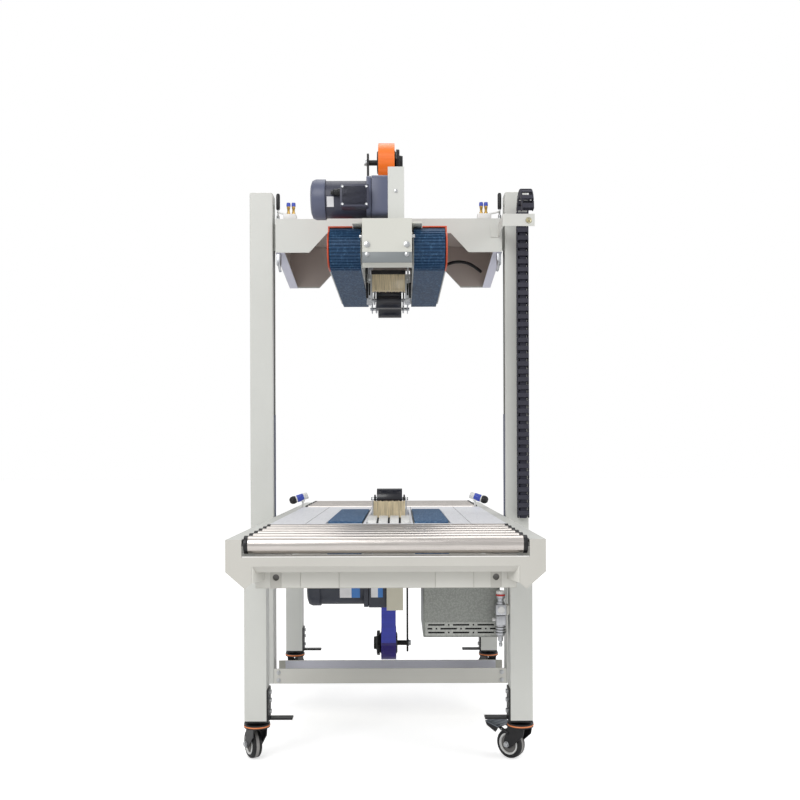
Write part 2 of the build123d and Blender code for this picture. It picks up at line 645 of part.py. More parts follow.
# Upper tape head: cheeks, brush block and two rollers, hung between the belts.
bar_foot = HEAD_TOP - SHEET - UPPER_BAR_HEIGHT
with BuildPart() as upper_tape_head:
    for x in (-UPPER_CHEEK_X - CHEEK, UPPER_CHEEK_X):
        with BuildSketch(across(x)):
            with BuildLine():
                Polyline(
                    (-110, bar_foot), (255, bar_foot), (255, 1300), (220, 1240), (180, 1240), (140, 1290),
                    (20, 1290), (-20, 1225), (-60, 1225), (-100, 1290), (-150, 1300), (-150, 1372),
                    close=True,
                )
            make_face()
        extrude(amount=CHEEK)
    with BuildSketch(across(-UPPER_CHEEK_X)):
        with Locations((UPPER_BRUSH_Y, (UPPER_BRUSH_FOOT + UPPER_BRUSH_TOP) / 2)):
            Rectangle(BRUSH_DEPTH, UPPER_BRUSH_TOP - UPPER_BRUSH_FOOT)
        with Locations((0, 1385), (220, 1385)):
            Circle(SPREADER_R)
    extrude(amount=2 * UPPER_CHEEK_X)
    with BuildSketch(across(-UPPER_WIPER_HALF)):
        with Locations(*UPPER_WIPERS):
            Circle(UPPER_WIPER_R)
    extrude(amount=2 * UPPER_WIPER_HALF)
    with BuildSketch(across(-UPPER_CHEEK_X)):
        with Locations(*UPPER_WIPERS):
            Circle(WIPER_AXLE_R)
    extrude(amount=2 * UPPER_CHEEK_X)
save(upper_tape_head, "upper_tape_head")

# Front box: a closed nose between the belt drums with a slanted lip and side pins.
with BuildPart() as front_box:
    with BuildSketch(across(-NOSE_HALF)):
        with BuildLine():
            Polyline(
                (NOSE_FRONT, NOSE_TOP), (-160, NOSE_TOP), (-160, 1340), (-300, 1320),
                (-300, 1295), (-396, 1262), (-410, 1262), (NOSE_FRONT, 1285), close=True,
            )
        make_face()
    extrude(amount=2 * NOSE_HALF)
    with BuildSketch(across(-BELT_INNER + BELT_PLATE)):
        with Locations((BELT_FRONT + BELT_HEIGHT / 2, 1340), (-200, 1352)):
            Circle(NOSE_PIN_R)
    extrude(amount=2 * (BELT_INNER - BELT_PLATE))
save(front_box, "front_box")

# Upper gear motor: fan cap, barrel, square gearhead and terminal box, on an upright channel.
with BuildPart() as upper_gearmotor:
    with BuildSketch(across(UPPER_MOTOR_CAP_X)):
        with Locations((UPPER_MOTOR_Y, UPPER_MOTOR_Z)):
            Circle(MOTOR_CAP_R)
    extrude(amount=UPPER_MOTOR_BARREL_X - UPPER_MOTOR_CAP_X)
    with BuildSketch(across(UPPER_MOTOR_BARREL_X)):
        with Locations((UPPER_MOTOR_Y, UPPER_MOTOR_Z)):
            Circle(MOTOR_BARREL_R)
    extrude(amount=UPPER_MOTOR_GEAR_X - UPPER_MOTOR_BARREL_X)
    with BuildSketch(across(UPPER_MOTOR_GEAR_X)):
        with Locations((UPPER_MOTOR_Y, UPPER_MOTOR_Z)):
            RectangleRounded(2 * MOTOR_HALF, 2 * MOTOR_HALF, MOTOR_CORNER)
    extrude(amount=UPPER_MOTOR_END_X - UPPER_MOTOR_GEAR_X)
    with BuildSketch(facing(UPPER_MOTOR_Y - 78)):
        with Locations((-UPPER_MOTOR_GEAR_X + 3 + TERMINAL_WIDTH / 2, UPPER_MOTOR_Z + TERMINAL_RISE)):
            RectangleRounded(TERMINAL_WIDTH, TERMINAL_HEIGHT, 5)
    extrude(amount=50)
save(upper_gearmotor, "upper_gearmotor")

with BuildPart() as upper_channel:
    with BuildSketch(Plane.XY.offset(NOSE_TOP)):
        with BuildLine():
            Polyline(
                (UPPER_MOTOR_END_X, CHANNEL_FRONT), (CHANNEL_END_X, CHANNEL_FRONT),
                (CHANNEL_END_X, CHANNEL_BACK), (CHANNEL_END_X - SHEET, CHANNEL_BACK),
                (CHANNEL_END_X - SHEET, CHANNEL_FRONT + SHEET),
                (UPPER_MOTOR_END_X + SHEET, CHANNEL_FRONT + SHEET),
                (UPPER_MOTOR_END_X + SHEET, CHANNEL_BACK), (UPPER_MOTOR_END_X, CHANNEL_BACK), close=True,
            )
        make_face()
    extrude(amount=CHANNEL_TOP - NOSE_TOP)
save(upper_channel, "upper_channel")


def roll_arm(name: str, x: float, y: float, z: float, foot: float, top: float, side: int) -> None:
    """Flat arm with the axle of a tape roll standing out of one face."""
    with BuildPart() as arm:
        with BuildSketch(across(x - ROLL_ARM / 2)):
            with Locations((y, (foot + top) / 2)):
                RectangleRounded(ROLL_ARM_WIDTH, top - foot, 6)
        extrude(amount=ROLL_ARM)
        with BuildSketch(across(x)):
            with Locations((y, z)):
                Circle(HUB_AXLE_R)
        extrude(amount=side * AXLE_REACH)
    save(arm, name)


def tape_roll(name: str, x: float, y: float, z: float, radius: float) -> None:
    """Roll of tape on its hub, bored to turn on the arm's axle."""
    with BuildPart() as roll:
        with BuildSketch(across(x - TAPE_WIDTH / 2)):
            with Locations((y, z)):
                Circle(radius)
        extrude(amount=TAPE_WIDTH)
        with BuildSketch(across(x - TAPE_WIDTH / 2 - HUB_PROUD)):
            with Locations((y, z)):
                Circle(CORE_R)
        extrude(amount=TAPE_WIDTH + 2 * HUB_PROUD)
        with BuildSketch(across(x - TAPE_WIDTH / 2 - HUB_PROUD)):
            with Locations((y, z)):
                Circle(HUB_AXLE_R + RUNNING_GAP)
        extrude(amount=TAPE_WIDTH + 2 * HUB_PROUD, mode=Mode.SUBTRACT)
    save(roll, name)


roll_arm("upper_roll_arm", UPPER_ARM_X, UPPER_ROLL_Y, UPPER_ROLL_Z, HEAD_TOP, UPPER_ARM_TOP, 1)
tape_roll("upper_tape_roll", UPPER_ROLL_X, UPPER_ROLL_Y, UPPER_ROLL_Z, UPPER_ROLL_R)
roll_arm("lower_roll_arm", LOWER_ARM_X, LOWER_ROLL_Y, LOWER_ROLL_Z, LOWER_ARM_FOOT, LOWER_ARM_TOP, -1)
tape_roll("lower_tape_roll", LOWER_ROLL_X, LOWER_ROLL_Y, LOWER_ROLL_Z, LOWER_ROLL_R)

# Chain bracket: a plate in front of the column with an arm back to the head's front plate.
with BuildPart() as chain_bracket:
    with BuildSketch(Plane.XY.offset(CHAIN_BRACKET_FOOT)):
        with BuildLine():
            Polyline(
                (COLUMN_OUTER, CHAIN_BRACKET_FRONT), (COLUMN_OUTER, CHAIN_BRACKET_FRONT + SHEET),
                (CHAIN_BRACKET_X, CHAIN_BRACKET_FRONT + SHEET), (CHAIN_BRACKET_X, HEAD_FRONT),
                (CHAIN_BRACKET_X - 24, HEAD_FRONT), (CHAIN_BRACKET_X - 24, HEAD_FRONT - SHEET),
                (CHAIN_BRACKET_X - SHEET, HEAD_FRONT - SHEET), (CHAIN_BRACKET_X - SHEET, CHAIN_BRACKET_FRONT),
                close=True,
            )
        make_face()
    extrude(amount=CHAIN_BRACKET_HEIGHT)
save(chain_bracket, "chain_bracket")

# Energy chain: one fixed loop up the right column's front and over towards the infeed.
with BuildPart() as energy_chain:
    mid = (CHAIN_REAR_Y + CHAIN_NEAR_Y) / 2
    bend = (CHAIN_REAR_Y - CHAIN_NEAR_Y) / 2
    turn_z = CHAIN_TOP - CHAIN_THICK / 2 - bend
    with BuildSketch(across(CHAIN_X0)):
        with Locations((mid, turn_z)):
            Circle(bend + CHAIN_THICK / 2)
            Circle(bend - CHAIN_THICK / 2, mode=Mode.SUBTRACT)
        with Locations((mid, turn_z - 100)):
            Rectangle(300, 200, mode=Mode.SUBTRACT)
        with Locations((CHAIN_REAR_Y, (turn_z + CHAIN_FOOT) / 2)):
            Rectangle(CHAIN_THICK, turn_z - CHAIN_FOOT)
        with Locations((CHAIN_NEAR_Y, (turn_z + CHAIN_NEAR_FOOT) / 2)):
            Rectangle(CHAIN_THICK, turn_z - CHAIN_NEAR_FOOT)
    extrude(amount=CHAIN_X1 - CHAIN_X0)
save(energy_chain, "energy_chain")

# Lower gear motor on its bracket under the belts.
with BuildPart() as lower_gearmotor:
    with BuildSketch(across(LOWER_MOTOR_CAP_X)):
        with Locations((LOWER_MOTOR_Y, LOWER_MOTOR_Z)):
            Circle(MOTOR_CAP_R)
    extrude(amount=LOWER_MOTOR_GEAR_X - LOWER_MOTOR_CAP_X)
    with BuildSketch(across(LOWER_MOTOR_GEAR_X)):
        with Locations((LOWER_MOTOR_Y, LOWER_MOTOR_Z)):
            RectangleRounded(2 * MOTOR_HALF, 2 * MOTOR_HALF, MOTOR_CORNER)
    extrude(amount=-MOTOR_PLATE - LOWER_MOTOR_GEAR_X)
    with BuildSketch(facing(LOWER_MOTOR_Y + 28)):
        with Locations((-LOWER_MOTOR_GEAR_X + 3 + TERMINAL_WIDTH / 2, LOWER_MOTOR_Z + TERMINAL_RISE)):
            RectangleRounded(TERMINAL_WIDTH, TERMINAL_HEIGHT, 5)
    extrude(amount=50)
save(lower_gearmotor, "lower_gearmotor")

with BuildPart() as lower_motor_bracket:
    with BuildSketch(across(-MOTOR_PLATE)):
        with BuildLine():
            Polyline(
                (-360, MOTOR_TRAY_FOOT), (-240, MOTOR_TRAY_FOOT), (-205, LOWER_BAR_FOOT),
                (-245, LOWER_BAR_FOOT), (-360, LOWER_BAR_FOOT - 5), close=True,
            )
        make_face()
    extrude(amount=MOTOR_PLATE)
    with BuildSketch(across(-MOTOR_PLATE)):
        with BuildLine():
            Polyline(
                (-360, MOTOR_TRAY_FOOT), (-240, MOTOR_TRAY_FOOT), (-205, LOWER_BAR_FOOT),
                (-209, LOWER_BAR_FOOT), (-243, MOTOR_TRAY_FOOT + 4), (-356, MOTOR_TRAY_FOOT + 4),
                (-356, LOWER_BAR_FOOT - 5), (-360, LOWER_BAR_FOOT - 5), close=True,
            )
        make_face()
    extrude(amount=MOTOR_TRAY_WIDTH)
save(lower_motor_bracket, "lower_motor_bracket")

with BuildPart() as control_box:
    with BuildSketch(Plane.XY.offset(CONTROL_FOOT)):
        with Locations((CONTROL_X, CONTROL_Y)):
            RectangleRounded(CONTROL_WIDTH, CONTROL_LENGTH, 8)
    extrude(amount=CONTROL_TOP - CONTROL_FOOT)
save(control_box, "control_box")

# Air unit: filter bowl, regulator block and knob on a bracket from the front right leg.
with BuildPart() as air_unit:
    with BuildSketch(Plane.XY.offset(AIR_BLOCK_FOOT)):
        with Locations((AIR_X, LEG_FRONT_Y)):
            RectangleRounded(28, 36, 3)
    extrude(amount=AIR_BLOCK_TOP - AIR_BLOCK_FOOT)
    with BuildSketch(Plane.XY.offset(AIR_FOOT)):
        with Locations((AIR_X, LEG_FRONT_Y)):
            Circle(AIR_DRAIN_R)
    extrude(amount=AIR_DRAIN_TOP - AIR_FOOT + 1)
    with BuildSketch(Plane.XY.offset(AIR_DRAIN_TOP)):
        with Locations((AIR_X, LEG_FRONT_Y)):
            Circle(AIR_BOWL_R)
    extrude(amount=AIR_BLOCK_FOOT - AIR_DRAIN_TOP + 1)
    with BuildSketch(Plane.XY.offset(AIR_BLOCK_TOP - 1)):
        with Locations((AIR_X, LEG_FRONT_Y)):
            Circle(AIR_KNOB_R)
    extrude(amount=AIR_TOP - AIR_BLOCK_TOP + 1)
    with BuildSketch(across(LEG_INNER - 10)):
        with Locations((LEG_FRONT_Y, AIR_BLOCK_TOP - 15)):
            Rectangle(26, 24)
    extrude(amount=10)
save(air_unit, "air_unit")
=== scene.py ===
"""Looks of a top and bottom belt drive carton sealer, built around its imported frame, in metres."""

import json
import logging
from dataclasses import dataclass, field
from enum import Enum
from math import asin, cos, pi, radians, sin

import bpy
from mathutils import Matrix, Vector

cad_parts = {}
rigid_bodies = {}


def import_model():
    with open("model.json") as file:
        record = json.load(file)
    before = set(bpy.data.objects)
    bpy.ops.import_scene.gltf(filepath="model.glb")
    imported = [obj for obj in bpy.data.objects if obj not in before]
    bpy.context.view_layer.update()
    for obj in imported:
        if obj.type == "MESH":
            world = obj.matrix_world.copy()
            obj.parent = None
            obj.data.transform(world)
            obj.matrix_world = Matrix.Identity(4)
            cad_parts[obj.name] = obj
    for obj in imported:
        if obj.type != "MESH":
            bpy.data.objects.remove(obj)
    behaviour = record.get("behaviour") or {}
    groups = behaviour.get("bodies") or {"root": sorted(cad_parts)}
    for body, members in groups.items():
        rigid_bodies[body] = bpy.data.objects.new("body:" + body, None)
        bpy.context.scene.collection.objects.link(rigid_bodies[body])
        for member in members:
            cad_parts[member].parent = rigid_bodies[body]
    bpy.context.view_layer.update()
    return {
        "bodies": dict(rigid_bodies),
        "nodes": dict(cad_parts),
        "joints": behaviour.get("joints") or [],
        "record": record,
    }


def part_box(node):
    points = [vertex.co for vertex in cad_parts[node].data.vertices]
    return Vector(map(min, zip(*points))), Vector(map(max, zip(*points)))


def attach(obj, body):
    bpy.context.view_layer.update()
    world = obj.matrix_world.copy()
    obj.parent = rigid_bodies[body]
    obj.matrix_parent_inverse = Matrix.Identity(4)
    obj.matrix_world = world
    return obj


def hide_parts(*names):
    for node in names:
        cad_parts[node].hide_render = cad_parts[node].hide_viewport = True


LOG = logging.getLogger("carton_sealer")

Colour = tuple[float, float, float]
Point = tuple[float, float, float]
Flat = tuple[float, float]


def srgb(red: int, green: int, blue: int) -> Colour:
    """Turn an eight-bit screen colour into linear light."""
    levels = []
    for value in (red / 255, green / 255, blue / 255):
        levels.append(value / 12.92 if value <= 0.04045 else ((value + 0.055) / 1.055) ** 2.4)
    return (levels[0], levels[1], levels[2])


class Axis(Enum):
    """World axis that a turned or extruded piece follows."""

    X = (1.0, 0.0, 0.0)
    Y = (0.0, 1.0, 0.0)
    Z = (0.0, 0.0, 1.0)

    def lift(self, across: float, along: float, height: float) -> Vector:
        """Place a flat point of a profile at a distance along this axis.

        Args:
            across: first flat coordinate.
            along: second flat coordinate.
            height: distance along the axis.

        Returns:
            The point in the world.
        """
        if self is Axis.X:
            return Vector((height, across, along))
        if self is Axis.Y:
            return Vector((across, height, along))
        return Vector((across, along, height))


# Finishes


class Graph:
    """Node tree of one material, with short calls to add and join nodes."""

    def __init__(self, name: str) -> None:
        """Start an empty material with a surface shader wired to its output."""
        self.material = bpy.data.materials.new(name)
        self.material.use_nodes = True
        self.nodes = self.material.node_tree.nodes
        self.nodes.clear()
        self.surface = self.nodes.new("ShaderNodeBsdfPrincipled")
        output = self.nodes.new("ShaderNodeOutputMaterial")
        self.join(self.surface.outputs["BSDF"], output.inputs["Surface"])
        self.place = self.nodes.new("ShaderNodeTexCoord").outputs["Object"]

    def join(self, source: bpy.types.NodeSocket, target: bpy.types.NodeSocket) -> None:
        """Link two sockets."""
        self.material.node_tree.links.new(source, target)

    def set(self, **values: float) -> None:
        """Set plain numbers on the shader, with underscores for the blanks in socket names."""
        for key, value in values.items():
            self.surface.inputs[key.replace("_", " ")].default_value = value

    def stretched(self, scale: Point) -> bpy.types.NodeSocket:
        """Object coordinates scaled by a separate factor on each axis."""
        mapping = self.nodes.new("ShaderNodeMapping")
        mapping.inputs["Scale"].default_value = scale
        self.join(self.place, mapping.inputs["Vector"])
        return mapping.outputs["Vector"]

    def noise(self, place: bpy.types.NodeSocket, scale: float, detail: float = 3.0) -> bpy.types.NodeSocket:
        """Noise value at a scale.

        Args:
            place: coordinates to read.
            scale: cells per metre.
            detail: octaves.

        Returns:
            The value socket.
        """
        node = self.nodes.new("ShaderNodeTexNoise")
        node.inputs["Scale"].default_value = scale
        node.inputs["Detail"].default_value = detail
        self.join(place, node.inputs["Vector"])
        return node.outputs["Fac"]

    def tint(self, value: bpy.types.NodeSocket, dark: Colour, light: Colour, low: float = 0.3, high: float = 0.7) -> None:
        """Colour the surface between two tones by a value.

        Args:
            value: value socket that picks the tone.
            dark: tone at the low end.
            light: tone at the high end.
            low: value at which the dark tone ends.
            high: value at which the light tone begins.
        """
        ramp = self.nodes.new("ShaderNodeValToRGB")
        ramp.color_ramp.elements[0].position = low
        ramp.color_ramp.elements[0].color = (*dark, 1)
        ramp.color_ramp.elements[1].position = high
        ramp.color_ramp.elements[1].color = (*light, 1)
        self.join(value, ramp.inputs["Fac"])
        self.join(ramp.outputs["Color"], self.surface.inputs["Base Color"])

    def spread(self, value: bpy.types.NodeSocket, socket: str, low: float, high: float) -> None:
        """Drive a shader socket between two numbers by a value."""
        node = self.nodes.new("ShaderNodeMapRange")
        node.inputs["To Min"].default_value = low
        node.inputs["To Max"].default_value = high
        self.join(value, node.inputs["Value"])
        self.join(node.outputs["Result"], self.surface.inputs[socket])

    def bump(self, value: bpy.types.NodeSocket, strength: float, distance: float) -> None:
        """Raise the surface by a value."""
        node = self.nodes.new("ShaderNodeBump")
        node.inputs["Strength"].default_value = strength
        node.inputs["Distance"].default_value = distance
        self.join(value, node.inputs["Height"])
        self.join(node.outputs["Normal"], self.surface.inputs["Normal"])


def shade(colour: Colour, factor: float) -> Colour:
    """Scale a colour's brightness."""
    return (min(1.0, colour[0] * factor), min(1.0, colour[1] * factor), min(1.0, colour[2] * factor))


@dataclass(frozen=True)
class Finish:
    """Surface that pieces share; each kind below says how it is made up."""

    name: str
    colour: Colour
    roughness: float = 0.45

    def dress(self, graph: Graph) -> None:
        """Wire the finish into a material's graph."""
        fine = graph.noise(graph.place, 60)
        graph.tint(fine, shade(self.colour, 0.94), shade(self.colour, 1.05))
        graph.set(Roughness=self.roughness)

    def material(self) -> bpy.types.Material:
        """Return the finish's material, made the first time it is asked for."""
        known = bpy.data.materials.get(self.name)
        if known:
            return known
        graph = Graph(self.name)
        self.dress(graph)
        return graph.material


@dataclass(frozen=True)
class Paint(Finish):
    """Powder coat: slow tone drift, orange-peel skin and slightly uneven gloss."""

    peel: float = 900.0
    drift: float = 0.035
    relief: float = 0.12

    def dress(self, graph: Graph) -> None:
        """Wire drift, gloss and peel."""
        slow = graph.noise(graph.place, 3.5, 4)
        graph.tint(slow, shade(self.colour, 1 - self.drift), shade(self.colour, 1 + self.drift))
        graph.spread(graph.noise(graph.place, 25, 5), "Roughness", self.roughness - 0.06, self.roughness + 0.06)
        graph.bump(graph.noise(graph.place, self.peel, 2), self.relief, 0.0002)


@dataclass(frozen=True)
class BrushedMetal(Finish):
    """Bare metal with fine scratches along one axis."""

    along: Axis = Axis.X
    metallic: float = 1.0

    def dress(self, graph: Graph) -> None:
        """Wire long thin streaks into colour, gloss and relief."""
        stretch = tuple(4.0 if part else 260.0 for part in self.along.value)
        streaks = graph.noise(graph.stretched(stretch), 3.0, 5)
        graph.tint(streaks, shade(self.colour, 0.86), shade(self.colour, 1.1))
        graph.spread(streaks, "Roughness", self.roughness - 0.08, self.roughness + 0.1)
        graph.bump(streaks, 0.15, 0.0001)
        graph.set(Metallic=self.metallic)


@dataclass(frozen=True)
class Moulded(Finish):
    """Moulded plastic or rubber with a fine matt texture."""

    grain: float = 1400.0
    relief: float = 0.2
    coat: float = 0.0

    def dress(self, graph: Graph) -> None:
        """Wire mottled tone and grain."""
        graph.tint(graph.noise(graph.place, 18, 4), shade(self.colour, 0.88), shade(self.colour, 1.12))
        graph.spread(graph.noise(graph.place, 60, 3), "Roughness", self.roughness - 0.05, self.roughness + 0.08)
        graph.bump(graph.noise(graph.place, self.grain, 2), self.relief, 0.0002)
        graph.surface.inputs["Coat Weight"].default_value = self.coat


@dataclass(frozen=True)
class Hammertone(Finish):
    """Hammered enamel: pooled cells with soft rims."""

    def dress(self, graph: Graph) -> None:
        """Wire cells into tone and relief."""
        cells = graph.nodes.new("ShaderNodeTexVoronoi")
        cells.feature = "SMOOTH_F1"
        cells.inputs["Scale"].default_value = 260
        graph.join(graph.place, cells.inputs["Vector"])
        graph.tint(cells.outputs["Distance"], shade(self.colour, 1.12), shade(self.colour, 0.85), 0.1, 0.6)
        graph.bump(cells.outputs["Distance"], 0.5, 0.0006)
        graph.set(Roughness=self.roughness, Metallic=0.35)


@dataclass(frozen=True)
class Bristle(Finish):
    """Natural fibre: thin upright streaks from pale tip to dark root."""

    def dress(self, graph: Graph) -> None:
        """Wire fibre streaks."""
        fibres = graph.noise(graph.stretched((900.0, 900.0, 18.0)), 1.0, 3)
        graph.tint(fibres, shade(self.colour, 0.55), shade(self.colour, 1.2), 0.35, 0.65)
        graph.bump(fibres, 0.6, 0.0006)
        graph.set(Roughness=self.roughness)


@dataclass(frozen=True)
class RoughTop(Finish):
    """Rough-top belt cover: short ridges across the belt, their tone running to a painted glint."""

    painted_glint: Colour = (0.5, 0.6, 0.7)

    def dress(self, graph: Graph) -> None:
        """Wire ridges into tone, gloss and relief; the light end of the tone is a painted glint."""
        ridges = graph.noise(graph.stretched((190.0, 120.0, 120.0)), 1.0, 1)
        graph.tint(ridges, shade(self.colour, 0.94), self.painted_glint, 0.5, 0.95)
        graph.spread(ridges, "Roughness", self.roughness + 0.1, self.roughness - 0.08)
        graph.bump(ridges, 0.25, 0.0008)
        graph.surface.inputs["Specular IOR Level"].default_value = 0.22


@dataclass(frozen=True)
class WoundTape(Finish):
    """Film wound on a roll: a glossy skin with faint bands across the width."""

    def dress(self, graph: Graph) -> None:
        """Wire faint winding bands and gloss."""
        bands = graph.noise(graph.stretched((1.0, 120.0, 120.0)), 1.2, 4)
        graph.tint(bands, shade(self.colour, 0.88), shade(self.colour, 1.06))
        graph.spread(bands, "Roughness", self.roughness, self.roughness + 0.12)
        graph.surface.inputs["Coat Weight"].default_value = 0.35
        graph.surface.inputs["Coat Roughness"].default_value = 0.15


LIGHT_PAINT = Paint("light_grey_powder_coat", srgb(207, 208, 203), 0.42)
BOX_PAINT = Paint("front_box_coat", srgb(206, 206, 198), 0.4)
BAND_PAINT = Paint("front_band_coat", srgb(124, 129, 131), 0.4, drift=0.12)
BEAM_PAINT = Paint("foot_beam_coat", srgb(216, 215, 208), 0.45)
BEIGE_PAINT = Paint("motor_bracket_coat", srgb(202, 198, 180), 0.5)
# Taupe skin for the head frame's inner faces: painted shade.
PAINTED_INNER_SHADE = Paint("head_lining", srgb(188, 176, 170), 0.6)
# Pale bluish skin under the head's sloping flanges: painted light on faces that look down.
PAINTED_FLANGE_LIGHT = Paint("head_flange_painted_light", srgb(206, 206, 222), 0.4)
MOTOR_PAINT = Paint("motor_slate", srgb(88, 93, 115), 0.38, peel=500.0)
# Darker copy of the motor slate for the lower motor under the table: painted shade.
SHADED_LOWER_SLATE = Paint("lower_motor_slate_painted_shade", srgb(50, 54, 65), 0.4, peel=500.0)
STRAP_PAINT = Paint("tie_strap_coat", srgb(219, 218, 211), 0.42)
# Near-white strip along the end panels' top edge: painted highlight of light falling on the fold.
PAINTED_EDGE_HIGHLIGHT = Paint("panel_edge_painted_highlight", srgb(250, 250, 246), 0.4)
# Pale bluish tone for a sheet inside the foot beam: painted sheen.
PAINTED_INNER_SHEEN = Paint("beam_inner_painted_sheen", srgb(236, 237, 250), 0.3)
# Black for blocks set in slots and holes: painted shade in the openings.
SLOT_PAINTED_SHADE = Moulded("slot_black_painted_shade", srgb(6, 6, 8), 0.8)
VENT_STRIP = Hammertone("vent_strip_hammertone", srgb(186, 188, 183), 0.5)
PEDAL_STEEL = BrushedMetal("pedal_steel", srgb(132, 138, 146), 0.4, along=Axis.Z)
TREAD_GREY = Moulded("tread_band_grey", srgb(146, 144, 142), 0.6)
MOTOR_DARK = Paint("motor_dark_slate", srgb(58, 60, 76), 0.42, peel=500.0)
ORANGE_PAINT = Paint("belt_guard_orange", srgb(214, 84, 52), 0.4)
BLACK_PAINT = Paint("black_coat", srgb(17, 17, 20), 0.4)
TERMINAL_BLACK = Moulded("terminal_box_black", srgb(62, 64, 80), 0.42)
BLACK_PLASTIC = Moulded("black_plastic", srgb(16, 16, 20), 0.4)
BLACK_RUBBER = Moulded("tyre_rubber", srgb(17, 17, 20), 0.55)
GREY_RUBBER = Moulded("tread_grey", srgb(120, 118, 116), 0.6)
HEAD_RUBBER = Moulded("head_roller_black", srgb(20, 21, 32), 0.3, coat=0.3)
CHAIN_PLASTIC = Moulded("chain_plastic", srgb(58, 60, 80), 0.4)
CHAIN_DARK = Moulded("chain_dark", srgb(28, 28, 48), 0.45)
BLUE_PLASTIC = Moulded("valve_blue", srgb(60, 80, 180), 0.35)
WHITE_PLASTIC = Moulded("white_plastic", srgb(226, 226, 224), 0.4)
# The upper belts' blue is darker than the lower belts': painted shade on undersides seen from below.
UPPER_BELT_SHADED = RoughTop("upper_belt_blue_painted_shade", srgb(40, 70, 102), 0.36, painted_glint=srgb(78, 114, 148))
LOWER_RUBBER = RoughTop("lower_belt_blue", srgb(52, 90, 128), 0.4, painted_glint=srgb(118, 154, 190))
CONTROL_COAT = Hammertone("control_box_hammertone", srgb(151, 154, 149), 0.45)
STAINLESS = BrushedMetal("table_stainless", srgb(240, 241, 247), 0.42, along=Axis.Y, metallic=0.35)
ROLLER_STEEL = BrushedMetal("roller_tube_steel", srgb(214, 208, 203), 0.28, along=Axis.X)
PANEL_PAINT = Paint("end_panel_coat", srgb(199, 197, 190), 0.42)
LABEL_WHITE = Moulded("blank_label", srgb(226, 226, 228), 0.4, grain=300.0)
LABEL_BLUE = Moulded("blank_label_band", srgb(60, 120, 190), 0.4, grain=300.0)
ZINC = BrushedMetal("bright_zinc", srgb(206, 208, 210), 0.3, along=Axis.Z)
SILVER = BrushedMetal("silver_alloy", srgb(196, 198, 202), 0.36, along=Axis.Z)
BRASS = BrushedMetal("valve_brass", srgb(196, 160, 90), 0.3, along=Axis.Z)
YELLOW_ZINC = BrushedMetal("yellow_zinc", srgb(206, 200, 172), 0.32, along=Axis.Y)
RING_ORANGE = Paint("bearing_ring_orange", srgb(226, 132, 76), 0.4)
RED_BAND = Moulded("red_band", srgb(196, 40, 36), 0.4)
BRUSH_FIBRE = Bristle("brush_fibre", srgb(224, 208, 174), 0.7)
ORANGE_TAPE = WoundTape("orange_tape_film", srgb(255, 122, 34), 0.25)
BLUE_TAPE = WoundTape("blue_tape_film", srgb(46, 26, 132), 0.25)
BLUE_STRAND = WoundTape("blue_tape_strand", srgb(52, 66, 205), 0.25)


# Modelling moves


